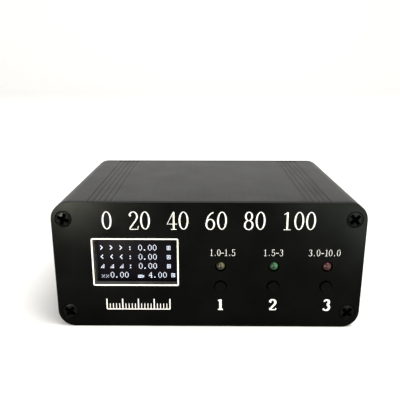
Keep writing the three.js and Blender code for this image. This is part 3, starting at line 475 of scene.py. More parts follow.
def solder_mask(rgb, copper):
    """Glass-epoxy board under green mask: the tracks show as paler, raised lines every 1.27 mm"""
    material, tree, place = new_finish("green_solder_mask")
    turned = {"Rotation": (math.radians(20), 0, 0)}
    flat = add_node(tree, MAPPING, turned, {"Vector": place})
    bricks = {
        "Scale": 1,
        "Mortar Size": 0.16 * MM,
        "Mortar Smooth": 0.2,
        "Brick Width": 6.35 * MM,
        "Row Height": 1.27 * MM,
    }
    tracks = add_node(tree, "ShaderNodeTexBrick", bricks, {"Vector": flat}, output="Fac")
    weave = add_node(tree, NOISE, {"Scale": per(0.6)}, {"Vector": place})
    stops = ((0.3, shade(rgb, 0.85)), (0.7, shade(rgb, 1.1)))
    base = add_node(tree, RAMP, None, {"Fac": weave}, stops)
    track = (*((a + b) / 2 for a, b in zip(rgb, copper)), 1)
    settings = {"data_type": "RGBA", 7: track}
    lines = add_node(tree, "ShaderNodeMix", settings, {0: tracks, 6: base}, output=2)
    relief = add_node(tree, BUMP, {"Strength": 0.5, "Distance": 0.035 * MM}, {"Height": tracks})
    settings = {"Roughness": 0.32, "IOR": 1.5, "Coat Weight": 0.2, "Coat Roughness": 0.2}
    give_surface(tree, settings, {"Base Color": lines, "Normal": relief})
    return material


def sintered(rgb):
    """Iron-powder ring core under dull paint: grey, with orange-peel skin"""
    material, tree, place = new_finish("coated_ring_core")
    peel = add_node(tree, NOISE, {"Scale": per(0.45), "Detail": 3}, {"Vector": place})
    stops = ((0.3, shade(rgb, 0.8)), (0.7, shade(rgb, 1.3)))
    tint = add_node(tree, RAMP, None, {"Fac": peel}, stops)
    relief = add_node(tree, BUMP, {"Strength": 0.5, "Distance": 0.03 * MM}, {"Height": peel})
    give_surface(tree, {"Roughness": 0.55}, {"Base Color": tint, "Normal": relief})
    return material


def enamelled(rgb):
    """Enamelled copper wire: warm metal under clear varnish that pools unevenly"""
    material, tree, place = new_finish("enamelled_copper_wire")
    pool = add_node(tree, NOISE, {"Scale": per(1.2)}, {"Vector": place})
    stops = ((0.3, shade(rgb, 0.7)), (0.7, shade(rgb, 1.2)))
    tint = add_node(tree, RAMP, None, {"Fac": pool}, stops)
    settings = {"Metallic": 1, "Roughness": 0.28, "Coat Weight": 0.7, "Coat Roughness": 0.08}
    give_surface(tree, settings, {"Base Color": tint})
    return material


def laminate(rgb):
    """Aluminium laminate of a pouch cell: pressed foil with soft creases"""
    material, tree, place = new_finish("pouch_laminate")
    pressed = add_node(tree, MAPPING, {"Scale": (per(9), per(4), per(3))}, {"Vector": place})
    crease = add_node(tree, NOISE, {"Scale": 1, "Detail": 3}, {"Vector": pressed})
    tint = add_node(tree, RAMP, None, {"Fac": crease}, ((0.3, shade(rgb, 0.9)), (0.7, rgb)))
    gloss = add_node(tree, MATH, {"operation": "MULTIPLY_ADD", 1: 0.45, 2: 0.14}, {0: crease})
    relief = add_node(tree, BUMP, {"Strength": 0.5, "Distance": 0.12 * MM}, {"Height": crease})
    links = {"Base Color": tint, "Roughness": gloss, "Normal": relief}
    give_surface(tree, {"Metallic": 0.85}, links)
    return material


def soft_foam(rgb):
    """Closed-cell polyethylene foam: matt, with cells of about 0.4 mm"""
    material, tree, place = new_finish("closed_cell_foam")
    cells = add_node(tree, "ShaderNodeTexVoronoi", {"Scale": per(0.4)}, {"Vector": place})
    tint = add_node(tree, RAMP, None, {"Fac": cells}, ((0, rgb), (0.6, shade(rgb, 0.75))))
    relief = add_node(tree, BUMP, {"Strength": 0.6, "Distance": 0.08 * MM}, {"Height": cells})
    give_surface(tree, {"Roughness": 0.9}, {"Base Color": tint, "Normal": relief})
    return material


def sweep_paper(rgb):
    """Matt paper sweep of the studio, darkened near the middle, where the case stands: painted
    shade
    """
    material, tree, place = new_finish("matt_paper_sweep")
    tone = add_node(tree, NOISE, {"Scale": per(160)}, {"Vector": place})
    away = add_node(
        tree, "ShaderNodeVectorMath", {"operation": "LENGTH"}, {0: place}, output="Value"
    )
    settings = {"operation": "MULTIPLY_ADD", 1: 0.1}
    uneven = add_node(tree, MATH, settings, {0: tone, 2: away})
    # Painted shade round the case: the paper is 0.84 of its colour near the middle and full 0.85 m
    # away
    stops = ((0.05, shade(rgb, 0.84)), (0.35, shade(rgb, 0.86)), (0.85, rgb))
    tint = add_node(tree, RAMP, None, {"Fac": uneven}, stops)
    give_surface(tree, {"Roughness": 0.9}, {"Base Color": tint})
    return material


FINISHES = {}


def finishes(context):
    """Every finish by name, made once from the scene's colours"""
    if "blackened_zinc_steel" in bpy.data.materials:
        return FINISHES
    c = context.scene.meter_colours
    made = {
        "case": anodised("black_anodised_extrusion", c.case_black, 0.41, 0.04),
        "panel": anodised("black_anodised_sheet", c.panel_black, 0.23, 0.0),
        "cut": anodised("black_anodised_cut_edge", c.panel_black, 0.62, 0.0),
        "milled": anodised("black_anodised_milled_wall", c.milled_grey, 0.5, 0.0),
        "ink": screen_ink(c.ink_white),
        "dots": lit_dots(c.dot_white),
        "film": tinted_film(c.film_dark),
        "glass": display_glass(c.glass_grey),
        "screw": black_zinc("blackened_zinc_steel", c.screw_black, 0.26),
        # Painted shade in the cross recesses: the screw's black at a fifth of its brightness, and
        # dull
        "recess": black_zinc("blackened_zinc_recess", shade(c.screw_black, 0.2), 0.6),
        "plastic": moulded("black_moulded_nylon", c.plastic_black),
        "nickel": plated("nickel_plated_brass", c.nickel, 0.2, 0.25),
        "gold": plated("gold_flashed_brass", c.gold, 0.22, 0.3),
        "tin": plated("tinned_copper", c.tin, 0.34, 2),
        "insulator": turned_white(c.insulator),
        "board": solder_mask(c.board, c.copper),
        "core": sintered(c.ferrite),
        "wire": enamelled(c.copper),
        "pouch": laminate(c.pouch),
        "foam": soft_foam(c.foam),
        "red_sleeve": moulded("red_silicone_sleeve", c.red_sleeve, 0.5, 0.3),
        "black_sleeve": moulded("black_silicone_sleeve", c.black_sleeve, 0.5, 0.3),
        "floor": sweep_paper(c.floor),
    }
    # Each indicator's lens, with how many times its painted highlight brightens its colour
    for name, highlight_gain in (("yellow", 3.8), ("green", 4.5), ("red", 1.15)):
        low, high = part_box(f"indicator_{name}")
        middle = Vector(((low.x + high.x) / 2, low.y + 0.3 * MM, (low.z + high.z) / 2))
        lens = getattr(c, f"{name}_lens")
        made[name] = epoxy_lens(f"{name}_epoxy_lens", lens, middle, highlight_gain)
    FINISHES.update(made)
    return FINISHES


# Shaping


def clear_selection():
    """Leaves nothing selected, in object mode"""
    if bpy.context.object and bpy.context.object.mode != "OBJECT":
        bpy.ops.object.mode_set(mode="OBJECT")
    bpy.ops.object.select_all(action="DESELECT")


def choose(piece):
    """Makes a piece the only one selected"""
    clear_selection()
    piece.select_set(True)
    bpy.context.view_layer.objects.active = piece


def settle(name):
    """Puts the new piece's place into its mesh and names it"""
    bpy.ops.object.transform_apply(location=True, rotation=True, scale=True)
    piece = bpy.context.object
    piece.name = name
    piece.data.name = name
    return piece


def block(low, high, name="block"):
    """A box between two corners"""
    clear_selection()
    low, high = Vector(low), Vector(high)
    bpy.ops.mesh.primitive_cube_add(size=1, location=(low + high) / 2, scale=high - low)
    return settle(name)


def rod(front, rear, y0, y1, x=0, z=0, sides=48):
    """A round bar along Y with its own radius at each end"""
    clear_selection()
    bpy.ops.mesh.primitive_cone_add(
        vertices=sides,
        radius1=front,
        radius2=rear,
        depth=y1 - y0,
        location=(x, (y0 + y1) / 2, z),
        rotation=(-math.pi / 2, 0, 0),
    )
    return settle("rod")


def pick(piece, kind, wanted):
    """Enters edit mode with the edges, faces or vertices that are wanted selected"""
    choose(piece)
    mesh = piece.data
    for part in (mesh.vertices, mesh.edges, mesh.polygons):
        part.foreach_set("select", [False] * len(part))
    if kind == "EDGE":
        for edge in mesh.edges:
            edge.select = wanted(*(mesh.vertices[i].co for i in edge.vertices))
    elif kind == "FACE":
        for face in mesh.polygons:
            face.select = wanted(face)
    else:
        for vertex in mesh.vertices:
            vertex.select = wanted(vertex.co)
    modes = ("VERT", "EDGE", "FACE")
    bpy.context.tool_settings.mesh_select_mode = tuple(kind == mode for mode in modes)
    bpy.ops.object.mode_set(mode="EDIT")


def enter_edit(piece):
    """Enters edit mode with all of a piece selected"""
    choose(piece)
    bpy.ops.object.mode_set(mode="EDIT")
    bpy.ops.mesh.select_all(action="SELECT")


def leave_edit():
    """Turns every face outwards and leaves edit mode"""
    bpy.ops.mesh.select_all(action="SELECT")
    bpy.ops.mesh.normals_make_consistent(inside=False)
    bpy.ops.object.mode_set(mode="OBJECT")


def runs_along_y(a, b):
    """Tells the edges that run along Y"""
    return abs(a.x - b.x) + abs(a.z - b.z) < NEAR


def round_edges(piece, width, segments, wanted):
    """Rounds the chosen edges"""
    pick(piece, "EDGE", wanted)
    bpy.ops.mesh.bevel(offset=width, segments=segments, affect="EDGES")
    bpy.ops.object.mode_set(mode="OBJECT")
    return piece


def modify(piece, kind, **settings):
    """Adds a modifier with its settings and applies it"""
    choose(piece)
    bpy.ops.object.modifier_add(type=kind)
    modifier = piece.modifiers[-1]
    for key, value in settings.items():
        setattr(modifier, key, value)
    bpy.ops.object.modifier_apply(modifier=modifier.name)
    return piece


def discard(*pieces):
    """Takes tools away after their use"""
    clear_selection()
    for piece in pieces:
        piece.select_set(True)
    bpy.ops.object.delete()


def gather(pieces, name="gathered"):
    """Several meshes as one piece"""
    clear_selection()
    for piece in pieces:
        piece.select_set(True)
    bpy.context.view_layer.objects.active = pieces[0]
    if len(pieces) > 1:
        bpy.ops.object.join()
    pieces[0].name = name
    return pieces[0]


def carve(piece, *tools):
    """Cuts each tool out of a piece"""
    for tool in tools:
        modify(piece, "BOOLEAN", operation="DIFFERENCE", solver="EXACT", object=tool)
        discard(tool)
    return piece


def weld(piece, *others):
    """Joins solids that overlap into one"""
    for other in others:
        modify(piece, "BOOLEAN", operation="UNION", solver="EXACT", object=other)
        discard(other)
    return piece


def ease(piece, width, segments=2):
    """Eases every sharp edge"""
    return modify(
        piece,
        "BEVEL",
        width=width,
        segments=segments,
        limit_method="ANGLE",
        angle_limit=math.radians(40),
        use_clamp_overlap=True,
    )


def smooth(piece, degrees=32):
    """Smooth shading that keeps the sharp edges sharp"""
    choose(piece)
    bpy.ops.object.shade_smooth_by_angle(angle=math.radians(degrees))
    return piece


def eased_box(node, name, width):
    """A solid's box with eased edges"""
    return smooth(ease(block(*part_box(node), name), width))


def draw_line(points, name):
    """A line of vertices, drawn from one point to the next"""
    clear_selection()
    points = [Vector(point) for point in points]
    bpy.ops.mesh.primitive_plane_add(size=MM, location=points[0])
    bpy.context.tool_settings.mesh_select_mode = (True, False, False)
    bpy.ops.object.mode_set(mode="EDIT")
    bpy.ops.mesh.select_all(action="SELECT")
    bpy.ops.mesh.merge(type="CENTER")
    for here, there in zip(points, points[1:]):
        bpy.ops.mesh.extrude_vertices_move(TRANSFORM_OT_translate={"value": there - here})
    bpy.ops.object.mode_set(mode="OBJECT")
    return settle(name)


def lathe(profile, sides, name):
    """A profile of radius and Y turned about the Y axis"""
    piece = draw_line([(radius, y, 0) for radius, y in profile], name)
    enter_edit(piece)
    bpy.ops.mesh.spin(steps=sides, angle=2 * math.pi, center=(0, 0, 0), axis=(0, 1, 0))
    bpy.ops.mesh.select_all(action="SELECT")
    bpy.ops.mesh.remove_doubles(threshold=2e-6)
    leave_edit()
    return piece


def moved(piece, place):
    """Moves a piece, its place kept in its mesh"""
    choose(piece)
    piece.location = place
    return settle(piece.name)


def copied(piece, name, place=(0, 0, 0), turn=(0, 0, 0)):
    """A copy with a mesh of its own, turned and then moved"""
    choose(piece)
    bpy.ops.object.duplicate(linked=False)
    twin = bpy.context.object
    twin.location = place
    twin.rotation_euler = turn
    return settle(name)


def arc(x, z, radius_x, radius_z, start, end, steps):
    """Points on part of an ellipse, by degrees from +X"""
    angles = [math.radians(start + (end - start) * i / steps) for i in range(steps + 1)]
    return [(x + radius_x * math.cos(a), z + radius_z * math.sin(a)) for a in angles]


def finish(piece, node, material, body="case"):
    """Gives a finished piece its material, its slot, the body that carries it and the node that
    it replaces, which is empty for a piece that only adds to one"""
    slots = piece.data.materials
    if slots:
        slots[0] = material
    else:
        slots.append(material)
    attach(piece, body)
    if node:
        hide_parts(node)
    return piece


def trim(piece, material, wanted):
    """Gives the wanted faces of a piece a finish of their own"""
    slots = piece.data.materials
    slots.append(material)
    pick(piece, "FACE", wanted)
    piece.active_material_index = len(slots) - 1
    bpy.ops.object.material_slot_assign()
    bpy.ops.object.mode_set(mode="OBJECT")


def dress(material, *nodes):
    """Gives carried-over solids a material"""
    for node in nodes:
        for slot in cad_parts[node].material_slots:
            slot.material = material


# The case

GROOVES_A_SIDE = 5
CORNER_SEGMENTS = 14


def half_shell(s):
    """One half of the case as the lower half: a channel of one section drawn along Y"""
    low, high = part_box("bottom_shell")
    middle = CAD_BOX[1].z / 2
    seam = middle - s.seam_gap / 2
    y0, y1 = low.y, high.y
    past0, past1 = y0 - MM, y1 + MM
    side = high.x
    inner = side - s.wall

    def low_down(a, b):
        return runs_along_y(a, b) and a.z < 2 * MM

    def at_seam(a, b):
        return runs_along_y(a, b) and a.z > seam - NEAR

    shell = block((-side, y0, low.z), (side, y1, seam), "shell")
    round_edges(shell, s.corner, CORNER_SEGMENTS, low_down)
    round_edges(shell, s.seam_bevel, 2, at_seam)
    hollow = block((-inner, past0, s.wall), (inner, past1, middle + MM), "hollow")
    round_edges(hollow, s.corner - s.wall, 12, low_down)
    rebate_low = middle - s.tongue_height - s.lap
    rebate = block((inner - MM, past0, rebate_low), (inner + s.tongue + s.lap, past1, middle))
    carve(shell, hollow, rebate)
    channels = []
    ribs = []
    cuts = []
    board_low, board_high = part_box("main_board")
    rib_ends = (board_low.z - s.slot_clearance - s.rib, board_high.z + s.slot_clearance)
    for hand in (-1, 1):
        x = hand * (side - s.channel_side)
        channels.append(rod(s.channel_radius, s.channel_radius, y0, y1, x, s.channel_up, 40))
        root, tip = hand * (side - s.wall / 2), hand * (inner - s.rib_depth)
        for z in rib_ends:
            ribs.append(block((min(root, tip), y0, z), (max(root, tip), y1, z + s.rib)))
        cuts.append(rod(s.channel_bore, s.channel_bore, past0, past1, x, s.channel_up, 28))
        end = x - hand * (s.channel_radius + MM)
        slit = s.channel_up - s.channel_slit / 2
        slit_top = slit + s.channel_slit
        cuts.append(block((min(x, end), past0, slit), (max(x, end), past1, slit_top)))
    tongue = block((-inner - s.tongue, y0, seam - MM / 2), (-inner, y1, middle + s.tongue_height))
    weld(shell, gather(channels), gather(ribs), tongue)
    grooves = []
    for hand in (-1, 1):
        for index in range(GROOVES_A_SIDE):
            x = hand * (s.groove_first + index * s.groove_pitch)
            z = s.groove_depth - s.groove_radius
            grooves.append(rod(s.groove_radius, s.groove_radius, past0, past1, x, z, 48))
    carve(shell, *cuts, gather(grooves))
    return smooth(shell, 28)


class METER_OT_shells(bpy.types.Operator):
    """Builds the two halves of the extruded case"""

    bl_idname = "meter.shells"
    bl_label = "Case halves"

    def execute(self, context):
        made = finishes(context)
        lower = half_shell(context.scene.meter_case)
        top = CAD_BOX[1].z
        upper = copied(lower, "upper_extrusion", (0, 0, top), (0, math.pi, 0))
        lower.name = "lower_extrusion"
        finish(lower, "bottom_shell", made["case"])
        finish(upper, "top_shell", made["case"])
        return {"FINISHED"}


def corner_places(s):
    """Axes of the four panel screws, from the top left as seen from the front"""
    x = CAD_BOX[1].x - s.channel_side
    top = CAD_BOX[1].z
    return [(hand * x, z) for z in (top - s.channel_up, s.channel_up) for hand in (-1, 1)]


def panel_blank(s, node, outward):
    """A panel with its round corners and countersunk screw holes"""
    low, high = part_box(node)
    panel = block(low, high, "panel")
    round_edges(panel, s.corner, CORNER_SEGMENTS, runs_along_y)
    face = low.y if outward < 0 else high.y
    slope = (s.sink_radius - s.hole_radius) / s.sink_depth
    past = face + outward * MM
    mouth = s.sink_radius + slope * MM
    # The cone runs on below the hole's rim, so that no slivers are left where they meet
    below = 0.25 * MM
    bottom = face - outward * (s.sink_depth + below)
    tip = s.hole_radius - slope * below
    sinks = []
    holes = []
    for x, z in corner_places(s):
        if outward < 0:
            sinks.append(rod(mouth, tip, past, bottom, x, z))
        else:
            sinks.append(rod(tip, mouth, bottom, past, x, z))
        holes.append(rod(s.hole_radius, s.hole_radius, low.y - MM, high.y + MM, x, z))
    return carve(panel, gather(sinks), gather(holes))


def cut_face(face):
    """Tells the faces that the saw and the mill leave on a panel"""
    return abs(face.normal.y) < 0.5


def in_window(s, point):
    """Tells whether a point of the front panel lies in its window or on the window's wall"""
    margin = 0.1 * MM
    across = s.window_left - margin < point.x < s.window_right + margin
    return across and s.window_low - margin < point.z < s.window_high + margin


class METER_OT_panels(bpy.types.Operator):
    """Builds the front panel and the rear panel"""

    bl_idname = "meter.panels"
    bl_label = "Panels"

    def execute(self, context):
        made = finishes(context)
        self.front(context.scene.meter_case, context.scene.meter_controls, made)
        self.rear(context.scene.meter_case, context.scene.meter_sockets, made)
        return {"FINISHED"}

    def front(self, s, controls, made):
        """The front panel: the window, the holes and the finishes of its cut walls"""
        low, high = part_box("front_panel")
        y0, y1 = low.y - MM, high.y + MM
        front = panel_blank(s, "front_panel", -1)
        window = block((s.window_left, y0, s.window_low), (s.window_right, y1, s.window_high))
        round_edges(window, s.window_corner, 3, runs_along_y)
        holes = []
        for index, tint in enumerate(("yellow", "green", "red")):
            x, z = middle_of(f"indicator_{tint}")
            holes.append(rod(controls.lens_hole, controls.lens_hole, y0, y1, x, z))
            x, z = middle_of(f"button_{index + 1}")
            holes.append(rod(controls.button_hole, controls.button_hole, y0, y1, x, z))
        carve(front, window, gather(holes))
        smooth(ease(front, s.panel_ease), 35)
        front.name = "front_plate"
        finish(front, "front_panel", made["panel"])
        trim(front, made["cut"], cut_face)
        trim(front, made["milled"], lambda face: cut_face(face) and in_window(s, face.center))

    def rear(self, s, sockets, made):
        """The rear panel: the sockets' holes, the charging mouth and the lever's slot"""
        low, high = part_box("rear_panel")
        y0, y1 = low.y - MM, high.y + MM
        rear = panel_blank(s, "rear_panel", 1)
        cuts = []
        large, small = sockets.boss + 0.3 * MM, sockets.screw_hole
        for name in ("input", "antenna"):
            x, z = middle_of(f"{name}_socket_shell")
            cuts.append(rod(large, large, y0, y1, x, z, 64))
            for dx, dz in flange_corners(sockets):
                cuts.append(rod(small, small, y0, y1, x + dx, z + dz, 32))
        usb_low, usb_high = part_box("charging_socket_shell")
        margin = sockets.usb_margin
        mouth = block(
            (usb_low.x - margin, y0, usb_low.z - margin),
            (usb_high.x + margin, y1, usb_high.z + margin),
        )
        round_edges(mouth, sockets.usb_corner + margin, 8, runs_along_y)
        lever_low, lever_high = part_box("power_switch_lever")
        free = 0.5 * MM
        end = free - lever_low.x
        slot = block((-end, y0, lever_low.z - free), (end, y1, lever_high.z + free))
        carve(rear, gather(cuts), mouth, slot)
        smooth(ease(rear, s.panel_ease), 35)
        rear.name = "rear_plate"
        finish(rear, "rear_panel", made["panel"])
        trim(rear, made["cut"], cut_face)


def middle_of(node):
    """X and Z of a solid's middle"""
    low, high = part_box(node)
    middle = (low + high) / 2
    return middle.x, middle.z


def flange_corners(s):
    """Places of the screws round one socket"""
    half = s.screw_pitch / 2
    return [(-half, half), (half, half), (-half, -half), (half, -half)]


# Screws


def cross_tool(s):
    """The tapered cross of the driver's tip, its mouth at y 0 and its point towards +Y"""
    depth = s.cross_depth
    # What is left of an arm's length and width at its floor
    long_left, wide_left = 0.3, 0.65
    arms = []
    for across in (True, False):
        wide, high = (s.cross, s.cross_width) if across else (s.cross_width, s.cross)
        arm = block((-wide / 2, -MM, -high / 2), (wide / 2, 0, high / 2))
        pick(arm, "FACE", lambda face: face.normal.y > 0.9)
        bpy.ops.mesh.extrude_region_move(TRANSFORM_OT_translate={"value": (0, depth, 0)})
        bpy.ops.transform.resize(
            value=(long_left, 1, wide_left) if across else (wide_left, 1, long_left),
            center_override=(0, depth, 0),
            orient_type="GLOBAL",
        )
        bpy.ops.object.mode_set(mode="OBJECT")
        arms.append(arm)
    point = rod(0.26 * s.cross, 0.02 * MM, -MM / 5, depth * 1.35, sides=24)
    return weld(arms[0], arms[1], point)


def in_recess(s, face, top):
    """Tells the faces of a screw's recess, which look inwards or lie well under the head's top"""
    middle, normal = face.center, face.normal
    inwards = middle.x * normal.x + middle.z * normal.z < -1e-9
    near = math.hypot(middle.x, middle.z) < 0.52 * s.cross
    return near and (inwards or normal.y < -0.3 and middle.y > top + 0.5 * MM)


def panel_screw(s):
    """A countersunk cross-recess screw, its face at y 0 and its shank towards +Y"""
    head, crown = s.head, s.crown
    profile = [(0, -crown)]
    profile += [(head * 0.93 * t, -crown * (1 - t * t)) for t in (0.25, 0.45, 0.62, 0.77, 0.9)]
    profile += [(head * 0.97, 0.02 * MM), (head, 0.1 * MM)]
    cone = 0.1 * MM + head - s.shank
    profile += [(s.shank, cone), (s.shank, s.reach - 0.6 * MM)]
    profile += [(s.shank - 0.5 * MM, s.reach), (0, s.reach)]
    screw = lathe(profile, 48, "panel_screw")
    carve(screw, cross_tool(s))
    return smooth(screw, 30)


def flange_screw(s):
    """A pan-head cross-recess screw, its seat at y 0 and its shank towards +Y"""
    r, h = s.pan, s.pan_height
    edge = arc(r - 0.75 * h, -0.25 * h, 0.75 * h, 0.68 * h, 0, -78, 7)
    profile = [(0, -h), *reversed(edge), (r, -0.1 * h), (r - 0.05 * MM, 0)]
    profile += [(s.pan_shank, 0), (s.pan_shank, s.pan_reach - 0.5 * MM)]
    profile += [(s.pan_shank - 0.45 * MM, s.pan_reach), (0, s.pan_reach)]
    screw = lathe(profile, 48, "flange_screw")
    carve(screw, moved(cross_tool(s), (0, -h, 0)))
    return smooth(screw, 30)


# How far each screw's cross is turned, in degrees
FRONT_TURNS = (20, 49, 38, 42)
REAR_TURNS = (8, 33, 19, 41)
FLANGE_TURNS = {"input": (12, 35, 24, 3), "antenna": (40, 17, 29, 9)}


class METER_OT_screws(bpy.types.Operator):
    """Builds the screws of the panels and of the flanges"""

    bl_idname = "meter.screws"
    bl_label = "Screws"

    def execute(self, context):
        made = finishes(context)
        s = context.scene.meter_screws
        sockets = context.scene.meter_sockets
        first = panel_screw(s)
        second = flange_screw(s)
        for screw, top in ((first, -s.crown), (second, -s.pan_height)):
            screw.data.materials.append(made["screw"])
            # The faces of each cross recess get the darker finish, painted shade
            trim(screw, made["recess"], lambda face: in_recess(s, face, top))
        front_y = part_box("front_panel")[0].y
        rear_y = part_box("rear_panel")[1].y
        for index, (x, z) in enumerate(corner_places(context.scene.meter_case)):
            turn = math.radians(FRONT_TURNS[index])
            screw = copied(first, f"front_head_{index + 1}", (x, front_y, z), (0, turn, 0))
            finish(screw, f"front_screw_{index + 1}", made["screw"])
            turn = math.radians(REAR_TURNS[index])
            screw = copied(first, f"rear_head_{index + 1}", (x, rear_y, z), (0, turn, math.pi))
            finish(screw, f"rear_screw_{index + 1}", made["screw"])
        for name, turns in FLANGE_TURNS.items():
            x, z = middle_of(f"{name}_socket_shell")
            for index, (dx, dz) in enumerate(flange_corners(sockets)):
                turn = math.radians(turns[index])
                place = (x + dx, rear_y + sockets.flange_thick, z + dz)
                label = f"{name}_flange_head_{index + 1}"
                screw = copied(second, label, place, (0, turn, math.pi))
                node = f"{name}_flange_screw_{index + 1}"
                finish(screw, node, made["screw"])
        discard(first, second)
        return {"FINISHED"}


# Display

DOTS_ACROSS, DOTS_DOWN = 128, 64
ZERO = ("..XX..", ".X..X.", *["X....X"] * 6, ".X..X.", "..XX..")
FOUR = ("....X.", "...XX.", *["..X.X."] * 2, *[".X..X."] * 2, "XXXXXX", *["....X."] * 2, "...XXX")
POINT = ("XX", "XX")
COLON = ("XX", "XX", "..", "..", "XX", "XX")
CHEVRON = ("X...", "XX..", ".XX.", "..XX", "..XX", ".XX.", "XX..", "X...")
RISING = (".....X", ".....X", "...X.X", "...X.X", ".X.X.X", ".X.X.X", "XX.XXX")
LEVEL = ("XXXXXX", "X....X", "X.XX.X", "X.XX.X", "X.XX.X", "X....X", "XXXXXX")
SMALL_RATIO = ("X...X", "...X.", "..X..", ".X...", "X...X")
SMALL_CELL = (".XXXXXXXX.", ".X.X.X.X.XX", ".X.X.X.X.XX", ".X.X.X.X.XX", ".XXXXXXXX.")


def lit_cells():
    """Columns and rows of the lit dots: symbols, colons and plain figures on four lines"""
    cells = set()

    def put(pattern, column, row, flip=False):
        for down, line in enumerate(pattern):
            for along, mark in enumerate(reversed(line) if flip else line):
                if mark == "X":
                    cells.add((column + along, row + down))

    for line in range(3):
        top = 16 * line + 3
        for index in range(3):
            if line < 2:
                put(CHEVRON, 2 + 16 * index, top + 1, flip=line == 1)
            else:
                put(RISING, 1 + 16 * index, top + 2)
        put(COLON, 50, top + 3)
        for column in (65, 81, 89):
            put(ZERO, column, top)
        put(POINT, 74, top + 8)
        put(LEVEL, 112, top + 2)
    # The last line: small marks, figures, a cell and more figures
    top = 51
    put(SMALL_RATIO, 2, top + 5)
    put(SMALL_RATIO, 9, top + 5)
    for column in (17, 33, 41, 97, 105):
        put(ZERO, column, top)
    put(FOUR, 81, top)
    put(POINT, 26, top + 8)
    put(POINT, 90, top + 8)
    put(SMALL_CELL, 62, top + 5)
    put(LEVEL, 119, top + 2)
    return cells


class METER_OT_display(bpy.types.Operator):
    """Builds the display: its glass, its film and the lit dots"""

    bl_idname = "meter.display"
    bl_label = "Display"

    def execute(self, context):
        made = finishes(context)
        s = context.scene.meter_display
        glass = eased_box("display_glass", "display_pane", 0.18 * MM)
        finish(glass, "display_glass", made["glass"])
        film = eased_box("display_film", "display_cover", 0.05 * MM)
        finish(film, "display_film", made["film"])
        picture = self.picture(s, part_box("display_film")[0].y)
        finish(picture, "", made["dots"])
        return {"FINISHED"}

    def picture(self, s, face):
        """The lit dots: a grid that keeps only their cells, each drawn in a little and raised"""
        width, height = DOTS_ACROSS * s.dot_x, DOTS_DOWN * s.dot_z
        clear_selection()
        bpy.ops.mesh.primitive_grid_add(
            x_subdivisions=DOTS_ACROSS,
            y_subdivisions=DOTS_DOWN,
            size=1,
            location=(s.centre_x, face, s.centre_z),
            rotation=(math.pi / 2, 0, 0),
        )
        bpy.context.object.scale = (width, height, 1)
        picture = settle("display_picture")
        lit = lit_cells()
        left, top = s.centre_x - width / 2, s.centre_z + height / 2

        def dark(face):
            column = int((face.center.x - left) / s.dot_x)
            row = int((top - face.center.z) / s.dot_z)
            return (column, row) not in lit

        pick(picture, "FACE", dark)
        bpy.ops.mesh.delete(type="FACE")
        bpy.ops.mesh.select_all(action="SELECT")
        bpy.ops.mesh.inset(thickness=s.gap, depth=0, use_individual=True)
        bpy.ops.mesh.select_all(action="INVERT")
        bpy.ops.mesh.delete(type="FACE")
        bpy.ops.mesh.select_all(action="SELECT")
        bpy.ops.mesh.extrude_region_move(TRANSFORM_OT_translate={"value": (0, -s.proud, 0)})
        leave_edit()
        return picture


# Printed marks

# Half widths of the pen for a figure one unit high: its stems, its thin strokes and its slabs
LIGHT_PEN = (0.044, 0.02, 0.018)
SMALL_PEN = (0.034, 0.021, 0.02)
BOLD_PEN = (0.1, 0.06, 0.055)
# Left and right ends in mm of the figures over each indicator
RANGES = ((0.3, 7.5, "1.0-1.5"), (15.5, 21.1, "1.5-3"), (28.2, 37.3, "3.0-10.0"))
# Middle in mm of the figure under each button
KEYS = ((3.54, "1"), (18.7, "2"), (34.36, "3"))


def figure(digit, weight, thin, slab):
    """Pen strokes of one figure, one unit high: its points with the pen's half width at each"""

    def even(points, half=weight):
        return [(x, z, half) for x, z in points]

    def swelled(points, middle_x, reach):
        return [
            (x, z, thin + (weight - thin) * min(1, abs(x - middle_x) / reach) ** 1.5)
            for x, z in points
        ]

    if digit == "0":
        return [(swelled(arc(0.28, 0.5, 0.21, 0.47, 0, 345, 22), 0.28, 0.21), True)]
    if digit == "1":
        foot = [(0.1, slab), (0.46, slab)]
        return [
            (even([(0.28, slab), (0.28, 0.97)]), False),
            (even([(0.28, 0.96), (0.2, 0.89), (0.11, 0.85)], thin), False),
            (even(foot, slab), False),
        ]
    if digit == "2":
        bowl = arc(0.28, 0.72, 0.2, 0.25, 165, -25, 12)
        stem = [(0.4, 0.5), (0.24, 0.28), (0.09, 0.07)]
        return [
            (swelled(bowl, 0.28, 0.2) + even(stem, (weight + thin) / 2), False),
            (even([(0.07, slab), (0.5, slab), (0.53, 0.2)], slab), False),
            (even(arc(0.12, 0.77, 0.03, 0.03, 0, 320, 6), weight * 0.6), True),
        ]
    if digit == "3":
        upper = arc(0.27, 0.75, 0.18, 0.22, 150, -80, 12)
        lower = arc(0.27, 0.27, 0.22, 0.25, 80, -155, 13)
        return [
            (swelled(upper, 0.22, 0.2), False),
            (swelled(lower, 0.22, 0.22), False),
            (even([(0.12, 0.84), (0.12, 0.8)], weight * 0.8), False),
            (even([(0.09, 0.19), (0.1, 0.16)], weight * 0.8), False),
        ]
    if digit == "4":
        return [
            (even([(0.38, 0.97), (0.03, 0.31), (0.55, 0.31)], thin), False),
            (even([(0.38, 0.96), (0.38, slab)]), False),
            (even([(0.24, slab), (0.52, slab)], slab), False),
        ]
    if digit == "5":
        bowl = arc(0.26, 0.31, 0.23, 0.29, 120, -155, 15)
        return [
            (even([(0.14, 0.97), (0.12, 0.53)], thin * 1.3), False),
            (even([(0.13, 0.95), (0.46, 0.95)], weight), False),
            (swelled(bowl, 0.24, 0.22), False),
        ]
    if digit == "6":
        back = [(0.44, 0.95), (0.3, 0.88), (0.17, 0.72), (0.1, 0.52), (0.075, 0.34)]
        return [
            (swelled(arc(0.28, 0.3, 0.205, 0.28, 0, 340, 18), 0.28, 0.205), True),
            (even(back, (weight + thin) / 2), False),
        ]
    return [
        (swelled(arc(0.28, 0.74, 0.165, 0.23, 0, 340, 16), 0.28, 0.165), True),
        (swelled(arc(0.28, 0.265, 0.205, 0.25, 0, 340, 18), 0.28, 0.205), True),
    ]


